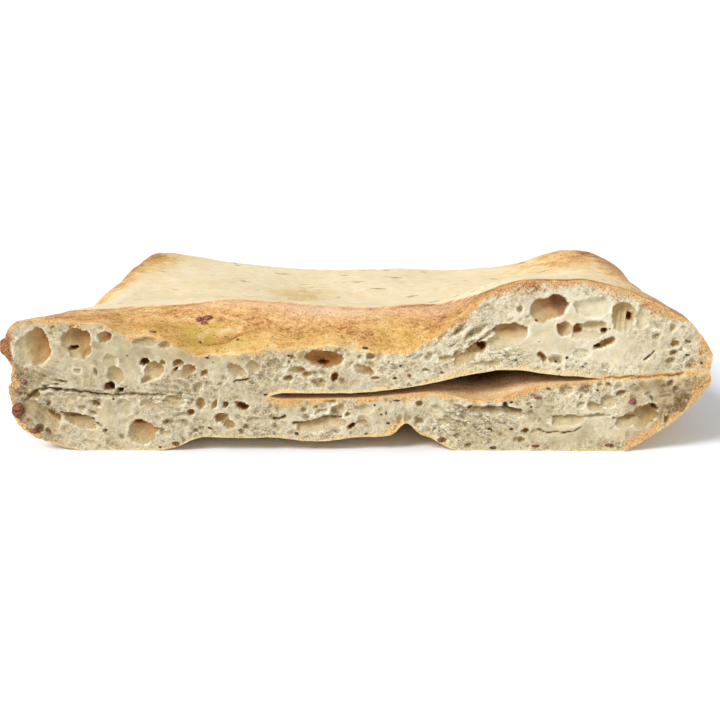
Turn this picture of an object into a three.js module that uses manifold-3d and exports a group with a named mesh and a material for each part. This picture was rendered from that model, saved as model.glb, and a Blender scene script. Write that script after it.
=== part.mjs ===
// A piece of pinsa, a flat Roman bread of two thin layers baked into one, cut straight across so that its
// open crumb shows. Towards the right the layers part into a flat pocket that opens at the cut.
// Millimetres, +Z up. X runs along the cut, the cut faces -Y, the baked far end faces +Y, and the bread
// rests on Z = 0. Shapes are functions of x, the place along the cut, and s, the distance behind it.
import * as THREE from "three";
import { mergeVertices } from "three/addons/utils/BufferGeometryUtils.js";
import Module from "manifold-3d";

// Driving sizes
const DEPTH = 145; // from the cut to the baked far end
const CUT_Y = -DEPTH / 2;
const RIGHT_SIDE = 100.3; // at the cut
const LEFT_SIDE = -90; // well behind the cut
const MIDDLE_X = 0.8; // middle of the finished width, which the part's origin lies under
const CREST = 40.5; // top of the ridge behind the cut
const DOME = 9.5; // how much higher the crust stands over the large cells on the right
const FAR_TOP = 30; // top of the bread near its far end, in the middle
const SHOULDER = { fall: 12, run: 18 }; // the crust's slope from the ridge down to the cut
const SEAM = 19.3; // height where the two layers meet, at the left of the cut
const ARCH = 4.2; // how high the middle of the underside stands off the table at the cut
const SLIT = 2.1; // half height that the slit between the layers opens along its whole length
const MOUTH = { at: 37, reach: 13, height: 3.3 }; // and the half height that the mouth adds to it
const FUSED = 1.2; // how far each layer reaches into the other where they are one
const RIM_FUSED = { atCut: 1.4, behind: 2.7 }; // and further near the bread's side, whose crease is shallow
const OVERCUT = 6; // how far the uncut loaf runs on past the knife

// Stretches of x, from one end to the other, where a form comes in or dies away
const LEDGE_IN = [-75, -62];
const SHOULDER_IN = [-62, -47];
const SHOULDER_OUT = [6, 36];
const DOME_IN = [20, 48];
const ARCH_IN = [-58, -45];
const ARCH_OUT = [18, 29];
const SLIT_IN = [-31, -22];
const SLIT_OUT = [56, 88];

// Stretches of s, the same
const RIDGE_OUT = [14, 62];
const SIDE_FALL_OUT = [8, 90];
const RELIEF_IN = [0, 20];
const ARCH_BACK = [15, 62];
const NOTCH_BACK = [4, 24];
const SAG_BACK = [10, 40];
const HOLLOWS_IN = [8, 40];
const SIDE_RISE_OUT = [0, 80];
const SLIT_BACK = [26, 64];
const MOUTH_BACK = [34, 88];
const RIM_FUSED_IN = [10, 60];
const TUCK_OUT = [6, 34];

// Helpers
const clamp01 = (t) => Math.min(1, Math.max(0, t));
const mix = THREE.MathUtils.lerp;
const rise = (t, [from, to]) => THREE.MathUtils.smoothstep(t, from, to);
const fall = (t, stretch) => 1 - rise(t, stretch);
const hump = (t, { at, reach, height = 1 }) => height * Math.exp(-(((t - at) / reach) ** 2));
const sum = (terms) => terms.reduce((total, term) => total + term, 0);

// The plan outline, as uneven as dough stretched by hand. A wave is its height and its length over 2 pi.
const LEFT_FLARE = { out: 11, fade: 28 };
const RIGHT_FLARE = { out: 2.7, over: [0, 25] };
const RIGHT_TAPER = { inward: 2, over: [90, DEPTH] };
const wave = (t, height, length, start = 0) => height * Math.sin(t / length + start);

function leftEdge(s) {
  const flare = LEFT_FLARE.out * Math.exp(-Math.max(0, s) / LEFT_FLARE.fade);
  return LEFT_SIDE - flare + wave(s, 1.2, 15) + wave(s, 0.7, 6.5);
}

function rightEdge(s) {
  const flare = RIGHT_FLARE.out * rise(s, RIGHT_FLARE.over);
  const taper = RIGHT_TAPER.inward * rise(s, RIGHT_TAPER.over);
  return RIGHT_SIDE + flare - taper + wave(s, 1.3, 17) - wave(s, 0.6, 7);
}

function farEdge(x) {
  return DEPTH - 1.5 + wave(x, 1.6, 21, 0.6) + wave(x, 0.8, 8.5);
}

// Blisters that the oven raised in the top crust: x, s, reach, height
const BLISTERS = [
  [84, 128, 13, 2.4],
  [-80, 132, 12, 1.6],
  [62, 84, 15, 1.6],
  [-52, 70, 14, 1.2],
  [6, 96, 17, 1.1],
  [-20, 46, 9, 1.1],
  [-84, 62, 8, 1.3],
  [34, 48, 8, 1.0],
  [96, 60, 9, 1.4],
  [50, 134, 14, 1.8],
  [-45, 138, 20, 1.8],
];

function topRelief(x, s) {
  const waves = 0.7 * Math.sin(x / 13 + 1.3) * Math.sin(s / 17 + 0.4) + 0.4 * Math.sin(x / 7.1 - s / 9.3);
  const blisters = BLISTERS.map(([bx, bs, reach, height]) => {
    return height * Math.exp(-((x - bx) ** 2 + (s - bs) ** 2) / reach ** 2);
  });
  return rise(s, RELIEF_IN) * (waves + sum(blisters));
}

// Top of the upper layer: a ridge behind the cut that falls back to a lower middle, with a higher rim at
// the far corners. In front of the ridge the crust slopes down to the cut, and a blister burst on the slope.
const RIDGE_HUMPS = [
  { at: -38, reach: 15, height: 2.6 },
  { at: 0, reach: 18, height: -1.2 },
  { at: -73, reach: 16, height: -2.4 },
];
const FAR_LEFT_RIM = { height: 5.4, over: [-88, -12] };
const FAR_RIGHT_RIM = { height: 6, over: [50, 84] };
const FAR_RIGHT_EDGE = { drop: 2.5, over: [88, 101] };
const SIDE_FALL = { height: 15, from: 62, over: 37, power: 1.6 };
const LEFT_DIP = { height: 6, over: [-94, -74], alongS: { at: 46, reach: 27 } };
const LEDGE = 5; // fall of the crust's slope further left, beside the shoulder
// Shares of the shoulder's fall that are taken away, or added where they are below 0
const SHOULDER_BULGES = [
  { at: -37, reach: 9, height: -0.2 },
  { at: -7, reach: 12, height: 0.3 },
  { at: 12, reach: 4, height: -0.08 },
];
const BURST = { depth: 2, alongX: { at: -41, reach: 7.5 }, alongS: { at: 6.5, reach: 2.6 } };

function breadTop(x, s) {
  const ridge = CREST + DOME * rise(x, DOME_IN) + sum(RIDGE_HUMPS.map((each) => hump(x, each)));
  const farLeft = FAR_LEFT_RIM.height * fall(x, FAR_LEFT_RIM.over);
  const farRight = FAR_RIGHT_RIM.height * rise(x, FAR_RIGHT_RIM.over);
  const far = FAR_TOP + farLeft + farRight - FAR_RIGHT_EDGE.drop * rise(x, FAR_RIGHT_EDGE.over);
  const backward = 0.75 * rise(s, RIDGE_OUT) + 0.25 * clamp01(s / DEPTH);
  const outward = Math.max(0, x - SIDE_FALL.from) / SIDE_FALL.over;
  const sideFall = SIDE_FALL.height * outward ** SIDE_FALL.power * fall(s, SIDE_FALL_OUT);
  const bulges = sum(SHOULDER_BULGES.map((each) => hump(x, each)));
  const shoulderShare = rise(x, SHOULDER_IN) * fall(x, SHOULDER_OUT) * (1 - bulges);
  const ledge = LEDGE * rise(x, LEDGE_IN) * fall(x, SHOULDER_IN);
  const slope = (SHOULDER.fall * shoulderShare + ledge) * (1 - clamp01(s / SHOULDER.run)) ** 1.7;
  const burst = BURST.depth * hump(x, BURST.alongX) * hump(s, BURST.alongS);
  const leftDip = LEFT_DIP.height * fall(x, LEFT_DIP.over) * hump(s, LEFT_DIP.alongS);
  return mix(ridge, far, backward) - sideFall - leftDip - slope - burst + topRelief(x, s);
}

// Underside of the lower layer: at the cut it arches off the table between its two feet, with a notch and a
// sag in the arch. Behind that it rests on the table, apart from low hollows.
const NOTCH = { at: 13.5, reach: 3.2, height: 4.2 };
const SAG = { at: -12, reach: 9, height: 1.3 };
const SIDE_RISE = { slope: 0.66, from: 77.5, flatter: 0.55 };

function breadBottom(x, s) {
  const arch = ARCH * rise(x, ARCH_IN) * fall(x, ARCH_OUT) * fall(s, ARCH_BACK);
  const notch = hump(x, NOTCH) * fall(s, NOTCH_BACK);
  const sag = hump(x, SAG) * fall(s, SAG_BACK);
  const sideSlope = SIDE_RISE.slope * (1 - SIDE_RISE.flatter * rise(s, SIDE_RISE_OUT));
  const sideRise = sideSlope * Math.max(0, x - SIDE_RISE.from);
  const waves = 1.1 * Math.sin(x / 16 + 0.7) * Math.sin(s / 19 + 1.1) + 0.5 * Math.sin(x / 7 + s / 10) - 0.4;
  return Math.max(0, arch + notch - sag + sideRise + rise(s, HOLLOWS_IN) * Math.max(0, waves));
}

// The seam between the layers, which steps up and down along the cut and sinks towards the far end
const SEAM_STEPS = [
  { height: -2.8, over: [-62, -28] },
  { height: 3, over: [-4, 30] },
  { height: 2.2, over: [32, 50] },
  { height: 1.1, over: [76, 96] },
];
const SEAM_SINK = { height: 3.5, over: [20, 130] };

function seam(x, s) {
  const steps = sum(SEAM_STEPS.map(({ height, over }) => height * rise(x, over)));
  return SEAM + steps - SEAM_SINK.height * rise(s, SEAM_SINK.over);
}

// The seam's slit and the mouth are parts of one opening. Half its height, before the layers fuse:
function openGap(x, s) {
  const slit = SLIT * rise(x, SLIT_IN) * fall(x, SLIT_OUT) * fall(s, SLIT_BACK);
  return slit + hump(x, MOUTH) * fall(s, MOUTH_BACK);
}

// Half the gap that stands open at the seam, which is below 0 where the layers are fused
const RIM = [5, 24]; // distances from the bread's side over which the rim fades away

function halfGap(x, s) {
  const inside = Math.min(x - leftEdge(s), rightEdge(s) - x, farEdge(x) - s);
  const rimFused = mix(RIM_FUSED.atCut, RIM_FUSED.behind, rise(s, RIM_FUSED_IN));
  const fused = FUSED + rimFused * (0.85 + 0.4 * Math.sin(x / 15 + s / 11)) * fall(inside, RIM);
  return openGap(x, s) - fused;
}

// The lower lip of the opening is rounded: its floor climbs from the cut to a sill behind it
const SILL = { share: 0.6, over: [0, 9], back: [34, 70] }; // share of the half gap

function sill(x, s) {
  return SILL.share * Math.max(0, openGap(x, 0) - FUSED) * rise(s, SILL.over) * fall(s, SILL.back);
}

// Each layer: its outline's inset, the radius of its rounded edges, where its widest line lies, and how far
// its sides are tucked in beside the seam at the cut
const LAYERS = {
  lower: {
    inset: { left: -0.9, right: -0.3 },
    round: { left: 27, right: 13, back: 13 },
    waistShare: 0.62,
    tuck: { left: 0.6, right: 1.6 },
    top: (x, s) => seam(x, s) - halfGap(x, s) + sill(x, s),
    bottom: breadBottom,
    seamSide: 1,
  },
  upper: {
    inset: { left: -0.4, right: 0 },
    round: { left: 10, right: 9, back: 14 },
    waistShare: 0.6,
    tuck: { left: 2.2, right: 0.4 },
    top: breadTop,
    bottom: (x, s) => seam(x, s) + halfGap(x, s),
    seamSide: -1,
  },
};
const SQUARE_EDGE = 0.4; // makes the edge beside the seam squarer than the outer one
const CUT_CROWDING = 1.35; // brings the rows closer together near the cut, where the crust falls to it
const GRID = { across: 36, along: 20, up: 4, endAcross: 3, endBack: 3 };

// Places one grid line: the straight stretch's share, and how far into the rounded end it is, -1 to 1
function gridLine(i, count, endStart, endStop) {
  if (i < endStart) return { share: 0, end: (i - endStart) / endStart };
  if (i > count - endStop) return { share: 1, end: (i - count + endStop) / endStop };
  return { share: (i - endStart) / (count - endStart - endStop), end: 0 };
}

// One layer: a box of grid lines whose left, right and far sides are rounded and whose faces follow the
// layer's own heights
function layerGeometry({ inset, round, waistShare, tuck, top, bottom, seamSide }) {
  const { across, along, up, endAcross, endBack } = GRID;
  const geometry = new THREE.BoxGeometry(across, along, up, across, along, up);
  const place = geometry.getAttribute("position");
  for (let n = 0; n < place.count; n++) {
    const u = gridLine(Math.round(place.getX(n) + across / 2), across, endAcross, endAcross);
    const v = gridLine(Math.round(place.getY(n) + along / 2), along, 0, endBack);
    const w = (2 * place.getZ(n)) / up;
    // the usual map from a cube's faces to a ball, for the rounded ends
    const [uu, vv, ww] = [u.end ** 2, v.end ** 2, w ** 2];
    const outX = u.end * Math.sqrt(1 - ww / 2 - vv / 2 + (ww * vv) / 3);
    const outS = v.end * Math.sqrt(1 - ww / 2 - uu / 2 + (ww * uu) / 3);
    const outZ = w * Math.sqrt(1 - uu / 2 - vv / 2 + (uu * vv) / 3);
    const back = farEdge(mix(LEFT_SIDE, RIGHT_SIDE, u.share)) - round.back;
    const s = mix(-OVERCUT, back, v.share ** CUT_CROWDING) + round.back * outS;
    const tucked = Math.max(0, w * seamSide) * fall(s, TUCK_OUT);
    const left = leftEdge(s) + inset.left + tuck.left * tucked;
    const right = rightEdge(s) - inset.right - tuck.right * tucked;
    const reach = outX < 0 ? round.left : round.right;
    const x = mix(left + round.left, right - round.right, u.share) + reach * outX;
    const low = bottom(x, Math.max(0, s));
    const high = top(x, Math.max(0, s));
    const waist = mix(low, high, waistShare);
    const bulge = outZ * seamSide > 0 ? Math.sign(outZ) * Math.abs(outZ) ** SQUARE_EDGE : outZ;
    place.setXYZ(n, x, CUT_Y + s, waist + bulge * (bulge > 0 ? high - waist : waist - low));
  }
  return geometry;
}

// The knife: a block in front of the cut, whose working face wavers a little
const KNIFE = { width: 230, height: 70, length: 30, under: 10, waver: 0.45 };

function knifeGeometry() {
  const geometry = new THREE.BoxGeometry(KNIFE.width, KNIFE.length, KNIFE.height, 16, 1, 5);
  geometry.translate(0, CUT_Y - KNIFE.length / 2, KNIFE.height / 2 - KNIFE.under);
  const place = geometry.getAttribute("position");
  for (let n = 0; n < place.count; n++) {
    if (place.getY(n) < CUT_Y - 1) continue;
    place.setY(n, CUT_Y + KNIFE.waver * Math.sin(place.getX(n) / 17 + place.getZ(n) / 11));
  }
  return geometry;
}

// The larger cells of the crumb that the knife opened: x, z, half width, half height, tilt in degrees,
// and how deep the cell is for its size. The first group is in the upper layer, the second in the lower.
const UPPER_CELLS = [
  [-92.7, 30.9, 4.3, 5.4, 0, 1.0],
  [-80.6, 32.3, 4.4, 4.1, 0, 1.0],
  [-73.1, 34.2, 1.8, 1.6, 0, 0.9],
  [-71.1, 26.9, 2.1, 1.9, 0, 0.6],
  [-70.1, 22.0, 2.4, 3.4, 0, 0.7],
  [-59.2, 23.9, 2.7, 3.1, 0, 0.5],
  [-49.6, 24.4, 2.7, 2.1, 0, 0.7],
  [-35.4, 24.1, 2.9, 2.2, -35, 0.7],
  [-30.6, 25.2, 2.1, 2.1, 0, 0.8],
  [-10.1, 27.0, 5.4, 2.6, 0, 1.0],
  [-18.0, 24.2, 2.3, 1.0, 0, 0.7],
  [0.7, 24.0, 2.6, 1.9, 20, 0.8],
  [53.1, 42.2, 5.5, 4.0, 10, 1.0],
  [41.6, 34.9, 6.5, 2.6, 12, 1.0],
  [33.2, 30.2, 3.7, 2.1, 25, 1.0],
  [65.6, 43.0, 4.6, 2.5, 0, 0.7],
  [75.3, 39.9, 4.0, 4.3, 0, 0.7],
  [63.0, 36.3, 7.0, 2.1, 0, 0.9],
  [69.5, 32.2, 3.0, 1.3, 15, 1.0],
  [62.0, 28.9, 2.3, 1.8, 0, 0.5],
];
const LOWER_CELLS = [
  [-90.7, 10.0, 5.8, 2.4, -45, 0.7],
  [-80.6, 9.4, 5.8, 2.1, -22, 1.0],
  [-62.9, 6.3, 3.5, 4.4, 0, 0.8],
  [-68.5, 13.8, 1.9, 2.0, 0, 0.5],
  [-60.2, 14.2, 3.2, 1.5, -25, 0.6],
  [-52.6, 15.1, 3.4, 1.4, -10, 0.5],
  [-38.8, 9.5, 2.6, 2.0, -30, 1.0],
  [-30.9, 9.9, 2.3, 1.4, 0, 0.6],
  [-11.3, 7.4, 6.4, 2.0, 8, 0.9],
  [1.4, 12.7, 2.0, 1.7, 0, 0.6],
  [-11.1, 12.2, 1.9, 0.9, 10, 0.6],
  [40.1, 9.9, 7.4, 1.4, -12, 1.0],
  [22.2, 12.3, 2.3, 1.2, -20, 0.5],
  [63.0, 9.1, 7.5, 1.8, 3, 0.9],
  [79.9, 11.9, 5.0, 2.7, 38, 1.0],
  [71.6, 15.9, 2.3, 2.0, 0, 0.9],
  [67.2, 13.4, 1.9, 1.3, -15, 0.8],
];
const CELL_INSET = 0.15; // share of a cell's depth that its centre lies behind the cut
const LARGE_CELL = 3.6; // half width from which a cell gets finer facets
const CELL_WOBBLE = 0.07;

function cellGeometry([x, z, halfWidth, halfHeight, tilt, deepness]) {
  const geometry = new THREE.IcosahedronGeometry(1, halfWidth > LARGE_CELL ? 2 : 1);
  const place = geometry.getAttribute("position");
  for (let n = 0; n < place.count; n++) {
    const [px, py, pz] = [place.getX(n), place.getY(n), place.getZ(n)];
    const size = 1 + CELL_WOBBLE * (Math.sin(3 * px + x) + Math.sin(4 * pz + z));
    place.setXYZ(n, px * size, py * size, pz * size);
  }
  const depth = (deepness * (halfWidth + halfHeight)) / 2;
  geometry.scale(halfWidth, depth, halfHeight);
  geometry.rotateY(-THREE.MathUtils.degToRad(tilt));
  geometry.translate(x, CUT_Y + CELL_INSET * depth, z);
  return geometry;
}

// Bits baked into the top crust, which stand a little proud: x, s, half length, half height
const CRUST_BITS = [
  [-43.6, 11.5, 2.3, 1.4],
  [-58, 3.6, 1.3, 0.6],
  [-26, 60, 1.4, 0.5],
];
// Bits that stick out of the crumb at the cut: x, z, half length, half height
const CRUMB_BITS = [
  [-71, 19.6, 1.5, 1.4],
  [51, 27.2, 1.2, 0.9],
  [78, 15.4, 1.2, 1.0],
];
const BIT_PROUD = 0.7;

function bitGeometry(x, s, z, halfLength, halfDepth, halfHeight) {
  const geometry = new THREE.IcosahedronGeometry(1, 0);
  geometry.scale(halfLength, halfDepth, halfHeight);
  geometry.translate(x, CUT_Y + s, z);
  return geometry;
}

// The tab of side crust that sticks out at the left of the cut
const TAB = { s: 4, z: 30.5, within: 1.4, halfWidth: 6, halfDepth: 7, halfHeight: 3 };

function tabGeometry() {
  const geometry = new THREE.IcosahedronGeometry(1, 1);
  geometry.scale(TAB.halfWidth, TAB.halfDepth, TAB.halfHeight);
  geometry.translate(leftEdge(TAB.s) + TAB.within, CUT_Y + TAB.s, TAB.z);
  return geometry;
}

// Joining and cutting
const wasm = await Module();
wasm.setup();

function solid(geometry) {
  geometry.deleteAttribute("normal");
  geometry.deleteAttribute("uv");
  const merged = mergeVertices(geometry, 1e-4);
  return new wasm.Manifold(
    new wasm.Mesh({
      numProp: 3,
      vertProperties: new Float32Array(merged.attributes.position.array),
      triVerts: new Uint32Array(merged.index.array),
    }),
  );
}

function geometryOf(body) {
  const { numProp, vertProperties, triVerts } = body.getMesh();
  const places = new Float32Array((vertProperties.length / numProp) * 3);
  for (let n = 0; n < places.length / 3; n++) {
    places.set(vertProperties.subarray(n * numProp, n * numProp + 3), n * 3);
  }
  const geometry = new THREE.BufferGeometry();
  geometry.setAttribute("position", new THREE.BufferAttribute(places, 3));
  geometry.setIndex(new THREE.BufferAttribute(new Uint32Array(triVerts), 1));
  geometry.computeVertexNormals();
  return geometry;
}

// The bread: both layers and the tab as one, cut by the knife, opened by the cells, with the baked-in bits
function pinsaGeometry() {
  let bread = solid(layerGeometry(LAYERS.lower)).add(solid(layerGeometry(LAYERS.upper)));
  bread = bread.add(solid(tabGeometry()));
  bread = bread.subtract(solid(knifeGeometry()));
  for (const cell of [...UPPER_CELLS, ...LOWER_CELLS]) bread = bread.subtract(solid(cellGeometry(cell)));
  for (const [x, s, halfLength, halfHeight] of CRUST_BITS) {
    const bit = bitGeometry(x, s, breadTop(x, s), halfLength, BIT_PROUD * halfLength, halfHeight);
    bread = bread.add(solid(bit));
  }
  for (const [x, z, halfLength, halfHeight] of CRUMB_BITS) {
    bread = bread.add(solid(bitGeometry(x, 0, z, halfLength, BIT_PROUD, halfHeight)));
  }
  return geometryOf(bread);
}

const bakedCrust = new THREE.MeshStandardMaterial({ color: 0xe6bf80, roughness: 0.8, metalness: 0 });
const pinsa = new THREE.Mesh(pinsaGeometry(), bakedCrust);
pinsa.name = "pinsa";
pinsa.position.x = -MIDDLE_X;

const part = new THREE.Group();
part.add(pinsa);

export default part;
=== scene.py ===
"""A cut piece of pinsa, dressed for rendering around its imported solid.

The bread is modelled the way it is made: two thin layers are baked into one loaf, a knife cuts the loaf
across, and the cells of the crumb open at the cut. Flakes of bran and burnt bits are laid on it afterwards,
and how brown, oily or floury each place is comes as tones that the materials read.
The shape functions take and give millimetres, as the solid's own source does: x runs along the cut, s is
the distance behind it and z is up. Meshes, properties and the stage are in metres.
"""

import math

import bpy
import numpy as np
from bpy.props import FloatProperty, FloatVectorProperty, IntProperty, PointerProperty
from bpy.types import Operator, Panel, PropertyGroup
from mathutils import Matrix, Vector
from mathutils.bvhtree import BVHTree


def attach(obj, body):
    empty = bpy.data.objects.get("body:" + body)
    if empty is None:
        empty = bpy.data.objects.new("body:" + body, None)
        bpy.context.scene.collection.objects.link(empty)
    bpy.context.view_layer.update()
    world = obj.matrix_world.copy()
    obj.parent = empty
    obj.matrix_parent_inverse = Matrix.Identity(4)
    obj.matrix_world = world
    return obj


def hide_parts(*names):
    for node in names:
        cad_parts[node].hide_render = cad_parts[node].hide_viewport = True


bl_info = {
    "name": "Pinsa",
    "version": (1, 0, 0),
    "blender": (4, 5, 0),
    "location": "View3D > Sidebar > Pinsa",
    "description": "Models a cut piece of pinsa with its crust, crumb, bran and burnt bits, and its stage",
    "category": "Add Mesh",
}

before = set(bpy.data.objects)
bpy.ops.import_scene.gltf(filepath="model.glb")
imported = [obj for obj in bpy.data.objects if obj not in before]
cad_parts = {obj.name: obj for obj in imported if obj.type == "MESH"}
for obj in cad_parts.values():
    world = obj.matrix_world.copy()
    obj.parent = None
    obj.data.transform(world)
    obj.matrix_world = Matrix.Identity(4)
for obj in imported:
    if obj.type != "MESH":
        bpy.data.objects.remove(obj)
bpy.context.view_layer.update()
MM = 0.001

# Driving sizes of the loaf, in millimetres
DEPTH = 145.0
CUT_Y = -DEPTH / 2
RIGHT_SIDE = 100.3
LEFT_SIDE = -90.0
MIDDLE_X = 0.8  # middle of the finished width, which the origin lies under
CREST = 40.5
DOME = 9.5
FAR_TOP = 30.0
SHOULDER = {"fall": 12.0, "run": 18.0}
SEAM = 19.3
ARCH = 4.2
SLIT = 2.1
MOUTH = {"at": 37, "reach": 13, "height": 3.3}
FUSED = 1.2
RIM_FUSED = {"at_cut": 1.4, "behind": 2.7}
OVERCUT = 1.6  # how far the uncut loaf runs on past the knife

# Stretches of x where a form comes in or dies away
LEDGE_IN = (-75, -62)
SHOULDER_IN = (-62, -47)
SHOULDER_OUT = (6, 36)
DOME_IN = (20, 48)
ARCH_IN = (-58, -45)
ARCH_OUT = (18, 29)
SLIT_IN = (-31, -22)
SLIT_OUT = (56, 88)

# Stretches of s, the same
RIDGE_OUT = (14, 62)
SIDE_FALL_OUT = (8, 90)
RELIEF_IN = (0, 20)
ARCH_BACK = (15, 62)
NOTCH_BACK = (4, 24)
SAG_BACK = (10, 40)
HOLLOWS_IN = (8, 40)
SIDE_RISE_OUT = (0, 80)
SLIT_BACK = (26, 64)
MOUTH_BACK = (34, 88)
RIM_FUSED_IN = (10, 60)
TUCK_OUT = (6, 34)


# ---------------------------------------------------------------------------------------------------------
# The loaf's shape
# ---------------------------------------------------------------------------------------------------------
def rise(t, stretch):
    k = np.clip((np.asarray(t, float) - stretch[0]) / (stretch[1] - stretch[0]), 0, 1)
    return k * k * (3 - 2 * k)


def fall(t, stretch):
    return 1 - rise(t, stretch)


def hump(t, at, reach, height=1.0):
    return height * np.exp(-(((t - at) / reach) ** 2))


def wave(t, height, length, start=0.0):
    return height * np.sin(t / length + start)


def mix(a, b, share):
    return a + (b - a) * share


# How the sides widen and narrow behind the cut
LEFT_FLARE = {"out": 11, "fade": 28}
RIGHT_FLARE = {"out": 2.7, "over": (0, 25)}
RIGHT_TAPER = {"inward": 2, "over": (90, DEPTH)}


def left_edge(s):
    flare = LEFT_FLARE["out"] * np.exp(-np.maximum(0, s) / LEFT_FLARE["fade"])
    return LEFT_SIDE - flare + wave(s, 1.2, 15) + wave(s, 0.7, 6.5)


def right_edge(s):
    flare = RIGHT_FLARE["out"] * rise(s, RIGHT_FLARE["over"])
    taper = RIGHT_TAPER["inward"] * rise(s, RIGHT_TAPER["over"])
    return RIGHT_SIDE + flare - taper + wave(s, 1.3, 17) - wave(s, 0.6, 7)


def far_edge(x):
    return DEPTH - 1.5 + wave(x, 1.6, 21, 0.6) + wave(x, 0.8, 8.5)


# Blisters that the oven raised in the top crust: x, s, reach, height
BLISTERS = (
    (84, 128, 13, 2.4),
    (-80, 132, 12, 1.6),
    (62, 84, 15, 1.6),
    (-52, 70, 14, 1.2),
    (6, 96, 17, 1.1),
    (-20, 46, 9, 1.1),
    (-84, 62, 8, 1.3),
    (34, 48, 8, 1.0),
    (96, 60, 9, 1.4),
    (50, 134, 14, 1.8),
    (-45, 138, 20, 1.8),
)


def top_relief(x, s):
    waves = 0.7 * np.sin(x / 13 + 1.3) * np.sin(s / 17 + 0.4) + 0.4 * np.sin(x / 7.1 - s / 9.3)
    raised = sum(h * np.exp(-((x - bx) ** 2 + (s - bs) ** 2) / reach**2) for bx, bs, reach, h in BLISTERS)
    return rise(s, RELIEF_IN) * (waves + raised)


RIDGE_HUMPS = ((-38, 15, 2.6), (0, 18, -1.2), (-73, 16, -2.4))  # at, reach, height
FAR_LEFT_RIM = {"height": 5.4, "over": (-88, -12)}
FAR_RIGHT_RIM = {"height": 6, "over": (50, 84)}
FAR_RIGHT_EDGE = {"drop": 2.5, "over": (88, 101)}
SIDE_FALL = {"height": 15, "start": 62, "over": 37, "power": 1.6}
LEFT_DIP = {"height": 6, "over": (-94, -74), "s": 46, "reach_s": 27}
LEDGE = 5.0
SHOULDER_BULGES = ((-37, 9, -0.2), (-7, 12, 0.3), (12, 4, -0.08))  # at, reach, share of the fall taken away
BURST = {"depth": 2.0, "x": -41, "reach_x": 7.5, "s": 6.5, "reach_s": 2.6}


def bread_top(x, s):
    ridge = CREST + DOME * rise(x, DOME_IN) + sum(hump(x, *each) for each in RIDGE_HUMPS)
    far = FAR_TOP + FAR_LEFT_RIM["height"] * fall(x, FAR_LEFT_RIM["over"])
    far = far + FAR_RIGHT_RIM["height"] * rise(x, FAR_RIGHT_RIM["over"])
    far = far - FAR_RIGHT_EDGE["drop"] * rise(x, FAR_RIGHT_EDGE["over"])
    backward = 0.75 * rise(s, RIDGE_OUT) + 0.25 * np.clip(s / DEPTH, 0, 1)
    outward = np.maximum(0, x - SIDE_FALL["start"]) / SIDE_FALL["over"]
    side_fall = SIDE_FALL["height"] * outward ** SIDE_FALL["power"] * fall(s, SIDE_FALL_OUT)
    bulges = sum(hump(x, *each) for each in SHOULDER_BULGES)
    shoulder = rise(x, SHOULDER_IN) * fall(x, SHOULDER_OUT) * (1 - bulges)
    ledge = LEDGE * rise(x, LEDGE_IN) * fall(x, SHOULDER_IN)
    slope = (SHOULDER["fall"] * shoulder + ledge) * (1 - np.clip(s / SHOULDER["run"], 0, 1)) ** 1.7
    burst = BURST["depth"] * hump(x, BURST["x"], BURST["reach_x"]) * hump(s, BURST["s"], BURST["reach_s"])
    left_dip = LEFT_DIP["height"] * fall(x, LEFT_DIP["over"]) * hump(s, LEFT_DIP["s"], LEFT_DIP["reach_s"])
    return mix(ridge, far, backward) - side_fall - left_dip - slope - burst + top_relief(x, s)


NOTCH = {"at": 13.5, "reach": 3.2, "height": 4.2}
SAG = {"at": -12, "reach": 9, "height": 1.3}
SIDE_RISE = {"slope": 0.66, "start": 77.5, "flatter": 0.55}


def bread_bottom(x, s):
    arch = ARCH * rise(x, ARCH_IN) * fall(x, ARCH_OUT) * fall(s, ARCH_BACK)
    notch = hump(x, **NOTCH) * fall(s, NOTCH_BACK)
    sag = hump(x, **SAG) * fall(s, SAG_BACK)
    side_slope = SIDE_RISE["slope"] * (1 - SIDE_RISE["flatter"] * rise(s, SIDE_RISE_OUT))
    side_rise = side_slope * np.maximum(0, x - SIDE_RISE["start"])
    waves = 1.1 * np.sin(x / 16 + 0.7) * np.sin(s / 19 + 1.1) + 0.5 * np.sin(x / 7 + s / 10) - 0.4
    hollows = rise(s, HOLLOWS_IN) * np.maximum(0, waves)
    return np.maximum(0, arch + notch - sag + side_rise + hollows)


SEAM_STEPS = ((-2.8, (-62, -28)), (3.0, (-4, 30)), (2.2, (32, 50)), (1.1, (76, 96)))
SEAM_SINK = {"height": 3.5, "over": (20, 130)}


def seam(x, s):
    steps = sum(height * rise(x, over) for height, over in SEAM_STEPS)
    return SEAM + steps - SEAM_SINK["height"] * rise(s, SEAM_SINK["over"])


RIM = (5, 24)  # how far within the edges the layers are fused


def open_gap(x, s):
    """Half the gap that stands open between the layers, before they fuse."""
    slit = SLIT * rise(x, SLIT_IN) * fall(x, SLIT_OUT) * fall(s, SLIT_BACK)
    return slit + hump(x, **MOUTH) * fall(s, MOUTH_BACK)


def half_gap(x, s):
    inside = np.minimum(np.minimum(x - left_edge(s), right_edge(s) - x), far_edge(x) - s)
    rim_fused = mix(RIM_FUSED["at_cut"], RIM_FUSED["behind"], rise(s, RIM_FUSED_IN))
    fused = FUSED + rim_fused * (0.85 + 0.4 * np.sin(x / 15 + s / 11)) * fall(inside, RIM)
    return open_gap(x, s) - fused


# The lower lip of the opening is rounded: its floor climbs from the cut to a sill behind it
SILL = {"share": 0.6, "over": (0, 9), "back": (34, 70)}  # share of the half gap


def sill(x, s):
    half = np.maximum(0, open_gap(x, 0.0) - FUSED)
    return SILL["share"] * half * rise(s, SILL["over"]) * fall(s, SILL["back"])


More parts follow.
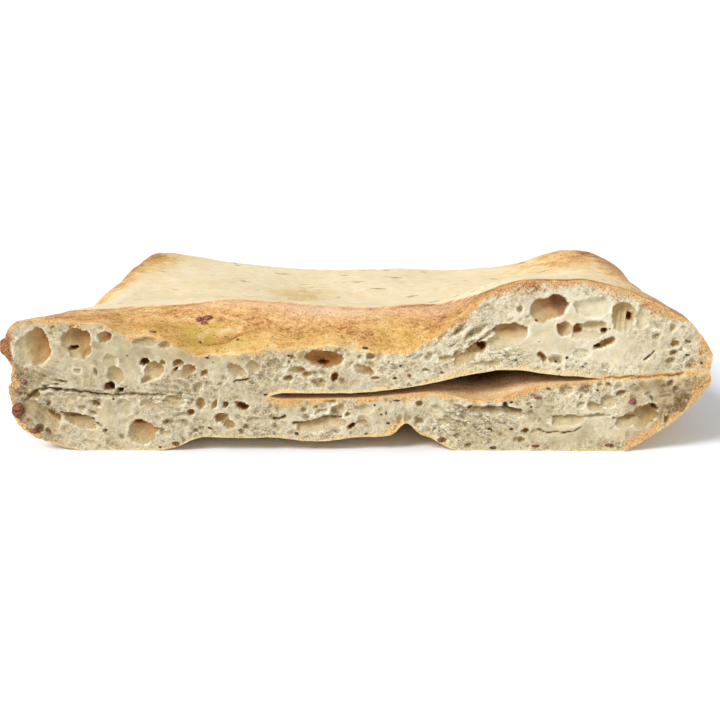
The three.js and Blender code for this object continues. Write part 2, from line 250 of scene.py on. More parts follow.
LAYERS = {
    "lower": {
        "inset": {"left": -0.9, "right": -0.3},
        "round": {"left": 27, "right": 13, "back": 13},
        "waist_share": 0.62,
        "tuck": {"left": 0.6, "right": 1.6},
        "top": lambda x, s: seam(x, s) - half_gap(x, s) + sill(x, s),
        "bottom": bread_bottom,
        "seam_side": 1,
    },
    "upper": {
        "inset": {"left": -0.4, "right": 0},
        "round": {"left": 10, "right": 9, "back": 14},
        "waist_share": 0.6,
        "tuck": {"left": 2.2, "right": 0.4},
        "top": bread_top,
        "bottom": lambda x, s: seam(x, s) + half_gap(x, s),
        "seam_side": -1,
    },
}
SQUARE_EDGE = 0.4
CUT_CROWDING = 1.5  # brings the rows closer together near the cut
GRID = {"across": 220, "along": 64, "up": 10, "end_across": 10, "end_back": 6}


# ---------------------------------------------------------------------------------------------------------
# Helpers for modelling
# ---------------------------------------------------------------------------------------------------------
def deselect_all():
    if bpy.context.object and bpy.context.object.mode != "OBJECT":
        bpy.ops.object.mode_set(mode="OBJECT")
    bpy.ops.object.select_all(action="DESELECT")


def make_active(piece):
    deselect_all()
    piece.select_set(True)
    bpy.context.view_layer.objects.active = piece


def name_new(name):
    piece = bpy.context.object
    piece.name = name
    piece.data.name = name
    return piece


def read_places(piece):
    places = np.empty(len(piece.data.vertices) * 3)
    piece.data.vertices.foreach_get("co", places)
    return places.reshape(-1, 3)


def write_places(piece, places):
    piece.data.vertices.foreach_set("co", np.ascontiguousarray(places, dtype=float).ravel())
    piece.data.update()


def read_normals(piece):
    normals = np.empty(len(piece.data.vertices) * 3, dtype=np.float32)
    piece.data.vertex_normals.foreach_get("vector", normals)
    return normals.reshape(-1, 3).astype(float)


def to_metres(x, s, z):
    """Millimetres of the shape functions to metres of the frame."""
    x, s, z = np.broadcast_arrays(x, s, z)
    return np.stack([x - MIDDLE_X, CUT_Y + s, z], axis=-1) * MM


def to_shape(places):
    """Metres of the frame to x, s and z in millimetres."""
    mm = np.asarray(places) / MM
    return mm[..., 0] + MIDDLE_X, mm[..., 1] - CUT_Y, mm[..., 2]


def split_edges(piece, axis, count):
    """Splits every edge that runs along an axis into count parts."""
    for factor in factors(count):
        make_active(piece)
        mesh = piece.data
        ends = np.empty(len(mesh.edges) * 2, dtype=np.int64)
        mesh.edges.foreach_get("vertices", ends)
        ends = ends.reshape(-1, 2)
        places = read_places(piece)
        along = np.abs(places[ends[:, 0]] - places[ends[:, 1]])
        chosen = along[:, axis] > along.sum(axis=1) - along[:, axis] + 1e-9
        bpy.ops.object.mode_set(mode="EDIT")
        bpy.ops.mesh.select_mode(type="EDGE")
        bpy.ops.mesh.select_all(action="DESELECT")
        bpy.ops.object.mode_set(mode="OBJECT")
        mesh.edges.foreach_set("select", chosen)
        bpy.ops.object.mode_set(mode="EDIT")
        bpy.ops.mesh.subdivide(number_cuts=factor - 1)
        bpy.ops.object.mode_set(mode="OBJECT")


def factors(count):
    """Breaks a count into factors of at most 50, because one subdivide makes no more."""
    found = []
    rest = count
    while rest > 1:
        step = next((f for f in range(min(rest, 50), 1, -1) if rest % f == 0), rest)
        found.append(step)
        rest //= step
    return found


def add_block(name, across, along, up):
    bpy.ops.mesh.primitive_cube_add(size=1.0, location=(0, 0, 0))
    block = name_new(name)
    for axis, count in enumerate((across, along, up)):
        split_edges(block, axis, count)
    return block


def apply_boolean(piece, tool, operation):
    make_active(piece)
    modifier = piece.modifiers.new(operation.lower(), "BOOLEAN")
    modifier.operation = operation
    modifier.object = tool
    modifier.solver = "MANIFOLD"
    before = len(piece.data.polygons)
    bpy.ops.object.modifier_apply(modifier=modifier.name)
    bpy.data.objects.remove(tool)
    if len(piece.data.polygons) in (0, before):
        raise RuntimeError(f"the {operation.lower()} on {piece.name} did nothing")


FAR = 9.0  # in millimetres, more than any distance that matters in the crumb
TABLE_SIZE = 8192  # a power of two
HASH_PRIMES = (73856093, 19349663, 83492791)  # spread the corners of space over the table
OCTAVE_SHIFT = 17.3
OCTAVE_SUM = 1.75  # of the strengths of three octaves


class Noise:
    """Smooth random values between -1 and 1 over space, from a seeded table."""

    def __init__(self, seed):
        self.table = np.random.default_rng(seed).uniform(-1, 1, TABLE_SIZE)

    def at(self, points, size):
        scaled = np.asarray(points, float) / size
        corner = np.floor(scaled).astype(np.int64)
        part = scaled - corner
        part = part * part * (3 - 2 * part)
        total = np.zeros(len(scaled))
        for dx in (0, 1):
            for dy in (0, 1):
                for dz in (0, 1):
                    i, j, k = ((corner + (dx, dy, dz)) * HASH_PRIMES).T
                    index = i ^ j ^ k
                    weight = 1.0
                    for axis, d in enumerate((dx, dy, dz)):
                        weight = weight * (part[:, axis] if d else 1 - part[:, axis])
                    total += weight * self.table[index & (TABLE_SIZE - 1)]
        return total

    def layered(self, points, size, octaves=3):
        total = np.zeros(len(points))
        for octave in range(octaves):
            shifted = np.asarray(points) + OCTAVE_SHIFT * octave
            total += self.at(shifted, size / 2**octave) / 2**octave
        return total / OCTAVE_SUM


# ---------------------------------------------------------------------------------------------------------
# The loaf, the knife and the cells
# ---------------------------------------------------------------------------------------------------------
def grid_line(i, count, end_start, end_stop):
    """Share of the straight stretch, and how far into the rounded end, -1 to 1, each grid line lies."""
    share = np.clip((i - end_start) / (count - end_start - end_stop), 0, 1)
    before = np.clip((i - end_start) / max(end_start, 1), -1, 0)
    after = np.clip((i - count + end_stop) / max(end_stop, 1), 0, 1)
    return share, (before if end_start else 0) + after


def layer_block(name, layer):
    """One layer of dough: a block of grid lines whose left, right and far sides are rounded."""
    across, along, end = GRID["across"], GRID["along"], GRID["end_across"]
    block = add_block(name, across, along, GRID["up"])
    places = read_places(block) + 0.5
    u_share, u_end = grid_line(np.rint(places[:, 0] * across), across, end, end)
    v_share, v_end = grid_line(np.rint(places[:, 1] * along), along, 0, GRID["end_back"])
    w = 2 * places[:, 2] - 1
    # the usual map from a cube's faces to a ball, for the rounded ends
    uu, vv, ww = u_end**2, v_end**2, w**2
    out_x = u_end * np.sqrt(1 - ww / 2 - vv / 2 + ww * vv / 3)
    out_s = v_end * np.sqrt(1 - ww / 2 - uu / 2 + ww * uu / 3)
    out_z = w * np.sqrt(1 - uu / 2 - vv / 2 + uu * vv / 3)
    radius = layer["round"]
    back = far_edge(mix(LEFT_SIDE, RIGHT_SIDE, u_share)) - radius["back"]
    s = mix(-OVERCUT, back, v_share**CUT_CROWDING) + radius["back"] * out_s
    tucked = np.maximum(0, w * layer["seam_side"]) * fall(s, TUCK_OUT)
    left = left_edge(s) + layer["inset"]["left"] + layer["tuck"]["left"] * tucked
    right = right_edge(s) - layer["inset"]["right"] - layer["tuck"]["right"] * tucked
    reach = np.where(out_x < 0, radius["left"], radius["right"])
    x = mix(left + radius["left"], right - radius["right"], u_share) + reach * out_x
    low = layer["bottom"](x, np.maximum(0, s))
    high = layer["top"](x, np.maximum(0, s))
    waist = mix(low, high, layer["waist_share"])
    squared = np.sign(out_z) * np.abs(out_z) ** SQUARE_EDGE
    bulge = np.where(out_z * layer["seam_side"] > 0, squared, out_z)
    z = waist + bulge * np.where(bulge > 0, high - waist, waist - low)
    write_places(block, to_metres(x, s, z))
    return block


# The tab of side crust that sticks out at the left of the cut
TAB = {"s": 4, "z": 30.5, "within": 1.4, "half_width": 6, "half_depth": 7, "half_height": 3}
TAB_SURFACE = {"uneven": 0.10, "flatness": 0.7}  # the lower the second, the flatter its top and bottom


def tab_block():
    bpy.ops.mesh.primitive_ico_sphere_add(subdivisions=4, radius=1.0, location=(0, 0, 0))
    tab = name_new("tab")
    unit = read_places(tab)
    rough = 1 + TAB_SURFACE["uneven"] * Noise(5).layered(unit * 3, 1.6)
    ball = unit * rough[:, None]
    flat = np.sign(ball[:, 2]) * np.abs(ball[:, 2]) ** TAB_SURFACE["flatness"]
    middle = float(left_edge(TAB["s"])) + TAB["within"]
    x = middle + ball[:, 0] * TAB["half_width"]
    s = TAB["s"] + ball[:, 1] * TAB["half_depth"]
    write_places(tab, to_metres(x, s, TAB["z"] + flat * TAB["half_height"]))
    return tab


# The larger cells of the crumb that the knife opened: x, z, half width, half height, tilt in degrees,
# depth, the side on which the floor is deepest in degrees, 0 for the right and 90 for the top, or None
# where it is level, and how brown the walls are, partly their own colour and partly painted shade
CELLS = (
    # upper layer, left
    (-91.6, 31.3, 3.8, 5.3, -6, 3.9, 25, 0.85),
    (-94.6, 30.6, 3.6, 4.4, 0, 2.2, 20, 0.4),
    (-80.5, 32.8, 4.4, 3.6, -10, 3.4, 45, 0.8),
    (-78.4, 30.6, 2.2, 2.6, 0, 2.8, 10, 0.7),
    (-81.6, 30.8, 1.3, 0.75, 5, 4.6, None, 1.1),
    (-80.5, 28.9, 2.3, 1.3, 0, 0.9, 90, 0.45),
    (-72.5, 34.2, 2.0, 1.7, 0, 2.2, 10, 0.9),
    (-71.1, 27.2, 2.1, 1.8, 0, 1.3, 50, 0.3),
    (-69.9, 22.8, 2.3, 2.8, 30, 1.9, 50, 0.45),
    (-71.8, 19.5, 1.6, 1.4, 20, 4.0, None, 1.2),
    (-68.7, 18.4, 0.95, 0.8, 0, 4.0, None, 1.1),
    (-80.8, 24.2, 1.1, 0.9, 0, 1.1, 90, 0.5),
    (-75.6, 24.0, 0.6, 1.4, 15, 1.2, None, 0.4),
    (-61.5, 26.8, 1.4, 1.1, 0, 3.2, None, 1.0),
    (-58.9, 24.1, 2.8, 2.4, 40, 1.9, 70, 0.6),
    (-61.1, 21.8, 1.7, 1.2, 30, 1.3, None, 0.4),
    (-61.3, 32.6, 3.4, 1.4, 0, 1.2, 90, 0.55),
    (-55.5, 31.7, 1.8, 0.9, 0, 0.9, None, 0.5),
    (-56.2, 26.7, 0.9, 0.8, 0, 1.5, None, 0.5),
    (-51.8, 26.4, 1.5, 1.2, 0, 2.8, 90, 0.85),
    (-52.6, 24.8, 0.7, 0.4, 35, 3.5, None, 1.1),
    (-48.9, 24.6, 2.0, 1.6, 0, 2.3, 45, 0.75),
    (-51.5, 23.3, 2.8, 1.3, 0, 1.0, 45, 0.4),
    (-44.3, 23.5, 1.3, 1.0, 0, 2.4, 135, 0.65),
    (-46.6, 19.7, 1.4, 1.0, 0, 1.0, None, 0.25),
    (-35.2, 24.0, 3.0, 1.6, -35, 2.1, 70, 0.45),
    (-30.6, 25.2, 2.0, 1.9, 0, 1.9, 40, 0.45),
    # upper layer, middle
    (-10.2, 27.6, 5.3, 2.5, -4, 3.4, None, 0.72),
    (-10.6, 26.0, 1.6, 0.6, 0, 4.6, None, 1.2),
    (-16.3, 28.2, 2.2, 1.5, 20, 1.1, 0, 0.5),
    (-18.1, 24.3, 2.3, 0.9, -8, 2.1, 0, 0.75),
    (-15.1, 22.9, 1.4, 0.8, 0, 1.6, None, 0.5),
    (-20.5, 21.7, 1.5, 0.9, 0, 2.2, 90, 0.9),
    (-7.4, 22.0, 1.4, 1.2, 35, 2.8, None, 0.8),
    (0.7, 24.4, 3.0, 1.5, -20, 1.8, 20, 0.7),
    (3.2, 28.3, 1.2, 1.1, 0, 1.4, None, 0.4),
    (6.3, 28.5, 2.0, 1.2, 0, 1.0, None, 0.1),
    (10.2, 28.0, 2.2, 1.5, 0, 0.9, 90, 0.1),
    (4.3, 21.8, 1.6, 0.4, 0, 1.3, None, 0.5),
    (24.4, 27.7, 2.2, 1.0, 10, 1.5, 90, 0.5),
    # upper layer, under the dome
    (51.3, 41.7, 3.8, 3.4, 0, 3.4, 60, 0.85),
    (55.2, 43.0, 3.5, 3.3, 0, 4.8, 40, 1.2),
    (53.4, 42.4, 4.6, 3.0, 22, 3.6, 60, 1.0),
    (65.6, 42.6, 5.0, 3.0, 5, 1.7, 100, 0.12),
    (62.0, 42.8, 1.6, 1.8, 0, 1.9, 180, 0.1),
    (74.5, 40.0, 3.3, 4.5, 0, 2.6, 120, 0.6),
    (76.4, 39.7, 0.8, 1.3, 0, 4.5, None, 1.0),
    (42.4, 35.8, 5.3, 2.0, -4, 3.6, 90, 0.8),
    (40.9, 33.2, 5.2, 2.6, 15, 1.5, 120, 0.35),
    (33.2, 30.7, 3.5, 1.7, 22, 3.8, 70, 0.9),
    (34.8, 31.4, 1.3, 1.2, 0, 5.2, None, 1.15),
    (30.1, 28.2, 4.0, 1.7, 35, 1.6, 90, 0.7),
    (36.6, 26.4, 3.4, 0.9, 0, 1.1, 90, 0.6),
    (58.1, 36.3, 2.4, 1.9, 0, 3.2, 170, 0.8),
    (61.7, 36.5, 1.6, 1.5, 0, 2.0, None, 0.95),
    (66.3, 36.8, 4.4, 1.6, -5, 2.5, 90, 0.4),
    (64.1, 34.5, 4.0, 1.4, 0, 1.0, 90, 0.35),
    (69.4, 35.7, 0.9, 0.8, 0, 3.2, None, 1.0),
    (70.1, 32.3, 2.8, 1.1, 25, 2.5, None, 0.6),
    (67.6, 31.4, 1.0, 0.8, 20, 5.0, None, 1.2),
    (63.1, 29.2, 2.4, 1.5, 0, 1.0, 90, 0.15),
    (51.9, 28.5, 1.7, 0.9, -45, 2.2, None, 0.75),
    (45.2, 42.0, 0.9, 1.1, 0, 1.4, None, 0.3),
    (89.6, 32.0, 1.4, 0.9, 0, 1.5, None, 0.65),
    (88.6, 36.6, 0.9, 1.2, 0, 1.1, None, 0.35),
    (93.2, 32.5, 1.0, 0.5, 0, 1.4, None, 0.6),
    (79.9, 40.0, 1.8, 3.6, -10, 0.9, None, 0.15),
    # lower layer, left
    (-92.0, 10.9, 6.2, 2.5, -42, 2.6, 45, 0.4),
    (-88.9, 10.8, 3.0, 1.0, -42, 3.4, None, 0.6),
    (-80.7, 8.8, 5.2, 2.0, -20, 3.2, 80, 0.6),
    (-63.3, 5.6, 3.9, 3.8, -25, 3.2, 65, 0.7),
    (-63.9, 8.7, 1.7, 0.9, 0, 4.0, None, 0.9),
    (-93.5, 17.0, 1.6, 1.3, 0, 1.9, None, 0.4),
    (-76.0, 14.4, 1.6, 0.6, -35, 2.0, None, 0.6),
    (-77.0, 11.6, 1.4, 0.6, -35, 1.3, None, 0.4),
    (-67.9, 13.3, 2.2, 2.6, 0, 1.1, 60, 0.3),
    (-73.9, 6.2, 0.6, 0.6, 0, 2.8, None, 0.9),
    (-60.2, 13.6, 3.3, 1.4, -25, 1.7, 70, 0.3),
    (-53.7, 15.0, 3.4, 1.5, 0, 0.9, 90, 0.5),
    (-45.9, 14.4, 1.3, 1.7, 10, 1.7, None, 0.5),
    (-41.9, 14.3, 0.9, 1.6, -20, 1.5, 0, 0.7),
    (-38.7, 14.0, 0.9, 0.9, 0, 2.4, None, 0.6),
    (-33.7, 13.7, 2.0, 1.1, -20, 3.2, None, 1.05),
    (-39.6, 9.9, 2.1, 1.6, -20, 3.6, 135, 0.75),
    (-37.7, 8.2, 1.8, 1.1, -15, 1.9, None, 0.5),
    (-30.7, 9.4, 2.1, 1.2, 10, 1.1, 90, 0.3),
    (-48.7, 11.7, 1.0, 0.9, -30, 2.5, None, 0.7),
    (-51.6, 10.9, 1.6, 1.0, 0, 1.4, 90, 0.3),
    (-56.0, 8.9, 0.8, 0.8, 0, 1.5, None, 0.5),
    (-59.0, 6.6, 0.9, 0.7, 0, 1.3, None, 0.5),
    (-56.1, 5.4, 1.7, 0.9, 0, 0.9, None, 0.25),
    # lower layer, middle
    (-11.8, 7.9, 7.0, 2.0, 8, 2.6, 95, 0.5),
    (-8.4, 14.8, 1.7, 0.7, 0, 1.4, 90, 0.65),
    (-5.5, 12.7, 1.4, 1.3, 0, 1.6, 90, 0.45),
    (1.6, 12.6, 2.2, 1.6, 0, 1.4, 80, 0.3),
    (-11.4, 11.8, 2.2, 0.8, 15, 1.3, 90, 0.3),
    (-3.4, 11.0, 0.8, 0.8, 0, 1.3, None, 0.4),
    (-2.3, 7.6, 1.3, 0.7, 25, 2.2, None, 0.9),
    (0.6, 8.6, 1.8, 0.8, 0, 1.1, 90, 0.6),
    (11.6, 9.0, 1.0, 1.4, 0, 1.4, None, 0.1),
    (17.0, 14.2, 1.0, 0.9, 0, 1.6, None, 0.6),
    # lower layer, right, where the crumb is drawn out
    (36.5, 12.2, 5.2, 1.2, -3, 2.4, 90, 0.35),
    (43.9, 11.8, 3.9, 1.2, -15, 3.2, 80, 0.5),
    (41.7, 14.2, 0.7, 0.9, 30, 4.0, None, 1.1),
    (17.3, 8.8, 1.3, 1.0, 0, 1.4, None, 0.5),
    (22.8, 12.8, 2.3, 0.7, -22, 0.9, 90, 0.35),
    (26.2, 10.9, 2.8, 0.5, -24, 0.8, 90, 0.35),
    (23.9, 8.6, 1.7, 0.9, -20, 1.1, 90, 0.35),
    (27.7, 7.6, 2.6, 0.7, -25, 0.9, 90, 0.3),
    (31.0, 10.2, 2.6, 0.7, -22, 0.8, 90, 0.2),
    (47.9, 6.2, 1.4, 0.6, 0, 1.7, None, 0.8),
    (46.8, 3.3, 1.0, 0.9, 0, 1.5, None, 0.5),
    (71.5, 15.0, 2.4, 1.9, 0, 2.1, 100, 0.4),
    (67.5, 13.4, 2.3, 1.2, -20, 1.8, 90, 0.5),
    (63.5, 14.0, 1.4, 1.0, 20, 1.4, 90, 0.35),
    (60.0, 9.4, 4.7, 1.6, 5, 1.5, 95, 0.45),
    (67.6, 10.7, 5.0, 0.5, 2, 1.0, None, 0.2),
    (81.9, 10.6, 3.8, 3.4, 25, 4.0, 60, 0.65),
    (77.5, 9.5, 4.4, 2.1, 25, 2.2, 90, 0.5),
    (88.3, 16.7, 1.7, 0.7, 0, 1.4, None, 0.25),
    (82.9, 17.3, 1.3, 0.8, 0, 1.0, None, 0.2),
    (88.5, 9.6, 0.9, 1.1, 0, 1.3, None, 0.7),
)

# Dark cracks and torn lines in the crumb: how deep, half how wide, and the x and z of the points they join
CREASES = (
    (1.7, 0.34, ((-97.2, 15.2), (-92.4, 18.3), (-88.8, 19.1), (-85.9, 18.4), (-80.8, 17.9), (-75.8, 17.4),
                 (-68.8, 17.0))),
    (1.0, 0.32, ((-68.8, 17.0), (-62.7, 17.4), (-57.6, 17.0), (-51.6, 16.7))),
    (1.5, 0.30, ((-90.8, 19.5), (-88.3, 20.2), (-86.8, 20.0))),
    (1.6, 0.30, ((-87.2, 21.2), (-84.2, 20.9))),
    (2.4, 0.35, ((-86.3, 11.4), (-83.4, 10.3), (-79.5, 10.4), (-77.3, 9.3), (-74.8, 7.2))),
    (1.3, 0.25, ((-80.2, 3.2), (-77.0, 3.1))),
    (0.8, 0.22, ((-27.6, 24.9), (-25.6, 24.5), (-21.1, 24.8))),
    (1.2, 0.25, ((-35.8, 20.6), (-33.8, 21.0), (-31.4, 21.7))),
    (1.6, 0.35, ((-24.9, 10.1), (-21.9, 10.2))),
    (2.4, 0.32, ((-19.1, 8.2), (-14.8, 8.4), (-12.7, 9.4), (-9.1, 10.2), (-5.6, 10.0))),
    (1.1, 0.22, ((18.1, 24.6), (21.1, 24.2), (23.6, 23.5))),
    (2.4, 0.30, ((31.4, 13.4), (34.5, 13.0), (38.6, 12.9), (41.1, 13.8), (41.7, 14.8))),
    (2.8, 0.32, ((41.1, 13.6), (43.6, 12.9), (46.7, 12.0))),
    (1.2, 0.22, ((51.5, 6.3), (55.1, 5.7), (59.2, 5.7), (62.2, 6.3), (63.8, 7.3))),
    (1.0, 0.25, ((55.9, 10.4), (61.0, 10.7), (67.1, 11.0), (72.2, 10.6))),
    (1.5, 0.30, ((73.2, 9.9), (76.3, 10.1), (79.3, 10.0))),
    (4.5, 0.40, ((83.5, 16.8), (84.5, 15.2), (84.3, 14.2), (85.5, 12.8))),
    (3.0, 0.32, ((81.6, 13.5), (84.1, 14.2))),
    (1.7, 0.22, ((81.2, 27.6), (82.7, 28.7), (83.8, 29.8))),
    (1.5, 0.30, ((70.5, 21.9), (78.5, 22.2), (86.6, 22.6), (92.6, 22.9))),
    (1.4, 0.25, ((29.5, 30.2), (33.0, 32.3), (35.9, 34.6), (38.3, 36.2))),
)


# The sides of the crumb at the cut: the x and z at which they stand out most, and how they draw in from there
CRUMB_LEFT = {"x": -99.0, "z": 18, "drawn_in": 0.06, "power": 1.6}
CRUMB_RIGHT = {"x": 97.5, "z": 24, "drawn_in": -0.05, "power": 1.7}


def crumb_side(side, z):
    return side["x"] + side["drawn_in"] * np.abs(z - side["z"]) ** side["power"]


def on_cut(x, z, margin):
    """Whether places on the cut lie in the crumb, at least a margin away from the crust."""
    top, bottom, middle = bread_top(x, 0.0), bread_bottom(x, 0.0), seam(x, 0.0)
    gap = open_gap(x, 0.0) - FUSED
    inside = (z > bottom + margin) & (z < top - margin)
    inside = inside & (x > crumb_side(CRUMB_LEFT, z) + margin) & (x < crumb_side(CRUMB_RIGHT, z) - margin)
    return inside & ((gap < -0.2) | (np.abs(z - middle) > gap + margin))


# Bubbles of the crumb, in classes of their radius in millimetres from the largest to the smallest: how many
# are tried for each 1000 square millimetres, and the least and the greatest radius
BUBBLES = ((8, 1.2, 1.9), (34, 0.8, 1.2), (150, 0.5, 0.8), (480, 0.3, 0.5))
BUBBLE_OVERLAP = 0.88  # how near two bubbles may come, as a share of both radii
WALL = 0.08  # half the thickness of the wall between two bubbles
# Where the dough was drawn out along the slope of the dome, so that its bubbles lean and stretch
DRAWN = {"over": (2, 24), "out": (46, 60), "lean": 0.62, "stretch": 0.9}
# Where bubbles are tried, in millimetres and square millimetres
CUT_FACE = {
    "half_width": 101,
    "height": CREST + DOME,
    "area": (RIGHT_SIDE - LEFT_SIDE + 12) * (CREST + DOME),
}
BUBBLE_SHAPE = {"stretch": (1.0, 1.5), "lean": 0.4, "clear_of_crust": (0.35, 0.75)}
BUBBLE_DEPTH = {"least": 0.25, "more": 1.0, "power": 1.6}  # as shares of the radius
BUBBLE_EDGE = {"reach": 1.2, "open": 0.12}  # how far beyond its radius a bubble is worked out, and opens
BIN = 4  # size of the squares in which neighbours are looked up


def drawn_out(x, z):
    return rise(x, DRAWN["over"]) * fall(x, DRAWN["out"]) * rise(z - seam(x, 0.0), (3, 8))


def beside(bins, home):
    """What lies in a square and in the eight around it."""
    for i in (-1, 0, 1):
        for j in (-1, 0, 1):
            yield from bins.get((home[0] + i, home[1] + j), ())


def crumb_bubbles(seed):
    """Seeded bubbles that open at the cut: x, z, radius, stretch, lean, depth."""
    rng = np.random.default_rng(seed)
    half_width, margin, share = CUT_FACE["half_width"], *BUBBLE_SHAPE["clear_of_crust"]
    placed, bins = [], {}
    for per_area, least, greatest in BUBBLES:
        tries = int(per_area * CUT_FACE["area"] / 1000)
        xs, zs = rng.uniform(-half_width, half_width, tries), rng.uniform(0, CUT_FACE["height"], tries)
        radii = rng.uniform(least, greatest, tries)
        drawn = drawn_out(xs, zs)
        stretch = rng.uniform(*BUBBLE_SHAPE["stretch"], tries) + DRAWN["stretch"] * drawn
        lean = rng.normal(0, BUBBLE_SHAPE["lean"], tries) * (1 - drawn) + DRAWN["lean"] * drawn
        more = BUBBLE_DEPTH["more"] * rng.uniform(0, 1, tries) ** BUBBLE_DEPTH["power"]
        for place in np.nonzero(on_cut(xs, zs, margin + share * radii))[0]:
            x, z, radius = xs[place], zs[place], radii[place]
            home = (int(x // BIN), int(z // BIN))
            near = beside(bins, home)
            if any(math.hypot(x - c[0], z - c[1]) < BUBBLE_OVERLAP * (radius + c[2]) for c in near):
                continue
            bins.setdefault(home, []).append((x, z, radius))
            deep = (BUBBLE_DEPTH["least"] + more[place]) * radius
            placed.append((x, z, radius, stretch[place], lean[place], deep))
    return placed


def window(centre, reach, steps):
    return slice(*np.searchsorted(steps, (centre - reach, centre + reach)))


def bubble_depths(x, z, xs, zs, bubbles):
    """How deep the bubbles reach behind the cut at each point, with thin walls left between them."""
    nearest, second = np.full(x.shape, FAR), np.full(x.shape, FAR)
    radius_here, depth_here = np.ones(x.shape), np.zeros(x.shape)
    for cx, cz, radius, stretch, lean, depth in bubbles:
        reach = radius * stretch + BUBBLE_EDGE["reach"]
        part = (window(cz, reach, zs), window(cx, reach, xs))
        dx, dz = x[part] - cx, z[part] - cz
        along = dx * math.cos(lean) + dz * math.sin(lean)
        across = dz * math.cos(lean) - dx * math.sin(lean)
        away = np.hypot(along / stretch, across * stretch**0.5) - radius
        closer = away < nearest[part]
        second[part] = np.minimum(second[part], np.maximum(nearest[part], away))
        nearest[part] = np.where(closer, away, nearest[part])
        radius_here[part] = np.where(closer, radius, radius_here[part])
        depth_here[part] = np.where(closer, depth, depth_here[part])
    inward = np.minimum((second - nearest) / 2, BUBBLE_EDGE["open"] - nearest) - WALL
    share = np.clip(inward / radius_here, 0, 1)
    return depth_here * np.sqrt(1 - (1 - share) ** 2)


CELL_WALL = 0.4  # the lower, the steeper a cell's walls
CELL_FLOOR = {"middle": 0.58, "slope": 0.48}  # depth of a leaning floor, as shares of the cell's depth
CELL_UNEVEN = {"broad": 0.18, "fine": 0.12, "pits": 0.22}  # of its outline twice, and of its floor
# From which depth on a cell's walls show fully, and how much of their tone its floor has at its highest;
# the walls' tone is partly painted shade, stronger in deeper cells and on the deep side of a floor
CELL_TONE = {"edge": 0.45, "depth": 1.4, "floor": 0.45}
LIP = {"height": 0.10, "width": 0.32}  # of the thin raised edge round a cell
MERGE = 4  # the higher, the sharper the ridge between two cells that run into each other


def cell_depths(x, z, xs, zs, seed):
    """How deep the large cells reach at each point, the share of it that lies in one or on its lip, how far
    its colour is that of their walls, and how brown those are, partly as painted shade."""
    rng = np.random.default_rng(seed)
    noise = Noise(seed + 5)
    depths, inside, lips, walls, brown, weights = (np.zeros(x.shape) for _ in range(6))
    for cx, cz, half_width, half_height, tilt, deepest, side, tone in CELLS:
        size = (half_width + half_height) / 2
        reach = 1.4 * max(half_width, half_height) + 0.4
        part = (window(cz, reach, zs), window(cx, reach, xs))
        dx, dz = x[part] - cx, z[part] - cz
        turn = math.radians(tilt)
        along = (dx * math.cos(turn) + dz * math.sin(turn)) / half_width
        across = (dz * math.cos(turn) - dx * math.sin(turn)) / half_height
        spot = np.stack([x[part].ravel(), np.full(dx.size, rng.uniform(0, 50)), z[part].ravel()], axis=1)
        uneven = CELL_UNEVEN["broad"] * noise.at(spot, 0.8 * size)
        uneven = uneven + CELL_UNEVEN["fine"] * noise.at(spot + 9, 0.3 * size + 0.25)
        away = np.hypot(along, across) * (1 + uneven.reshape(dx.shape))
        body = np.clip(1 - away**2, 0, 1) ** CELL_WALL
        if side is None:
            floor = np.ones(dx.shape)
        else:
            toward = math.radians(side) - turn
            lean = along * math.cos(toward) + across * math.sin(toward)
            floor = np.clip(CELL_FLOOR["middle"] + CELL_FLOOR["slope"] * lean, 0, 1)
        pits = 1 + CELL_UNEVEN["pits"] * noise.at(spot + 21, 0.35 * size + 0.3).reshape(dx.shape)
        depth = deepest * body * floor * pits
        depths[part] += depth**MERGE
        inside[part] = np.maximum(inside[part], body)
        # Painted shade: a cell's wall colour shows more in deeper cells and grows browner on the deep side of
        # its floor
        shade = np.clip(body / CELL_TONE["edge"], 0, 1) ** 2
        weight = (shade * deepest) ** MERGE
        brown[part] += weight * tone * (CELL_TONE["floor"] + 0.62 * floor)
        weights[part] += weight
        seen = shade * (CELL_TONE["floor"] + 0.55 * floor) * min(1, deepest / CELL_TONE["depth"])
        walls[part] = np.maximum(walls[part], seen)
        lips[part] = np.maximum(lips[part], np.exp(-(((away - 1.04) * size / LIP["width"]) ** 2)))
    lips *= inside < 0.2
    merged = depths ** (1 / MERGE) - LIP["height"] * lips
    return merged, inside, lips, walls, brown / np.maximum(weights, 1e-9)


CREASE_REACH = 1.5  # beyond its ends and sides, within which a crack is worked out
BROKEN = {"even": 0.75, "uneven": 1.5, "limits": (0.08, 1.3)}  # how deep and wide a crack is along its way


def crease_depths(x, z, xs, zs, rough):
    """How deep the cracks reach at each point."""
    depths = np.zeros(x.shape)
    for deepest, width, points in CREASES:
        for (ax, az), (bx, bz) in zip(points, points[1:]):
            length = math.hypot(bx - ax, bz - az)
            reach = length / 2 + CREASE_REACH
            part = (window((az + bz) / 2, reach, zs), window((ax + bx) / 2, reach, xs))
            dx, dz = x[part] - ax, z[part] - az
            share = np.clip((dx * (bx - ax) + dz * (bz - az)) / length**2, 0, 1)
            away = np.hypot(dx - share * (bx - ax), dz - share * (bz - az))
            broken = np.clip(BROKEN["even"] + BROKEN["uneven"] * rough[part], *BROKEN["limits"])
            depth = deepest * broken * np.exp(-((away / (width * (0.6 + 0.4 * broken))) ** 2))
            depths[part] = np.maximum(depths[part], depth)
    return depths


# Places where the crumb is folded into fibres: x, z, reach along x, reach along z, lean, how deep
FIBRES = (
    (-54, 17, 7, 3.4, -0.15, 0.8),
    (-80, 17.5, 15, 1.8, -0.02, 0.5),
    (-91, 22, 6, 3.5, -0.4, 0.4),
    (-90, 11, 6, 3, -0.75, 0.6),
    (75, 40, 3.5, 4.5, 1.45, 0.7),
    (30, 9, 12, 5, -0.4, 0.4),
    (42, 29, 8, 3, 0.3, 0.2),
)
# The left side of the lower layer turns away from the knife, so that its crust shows beside the crumb
TURNED = {"back": 2.6, "over": (-0.5, 3.2), "at": 13, "reach": 7.5}
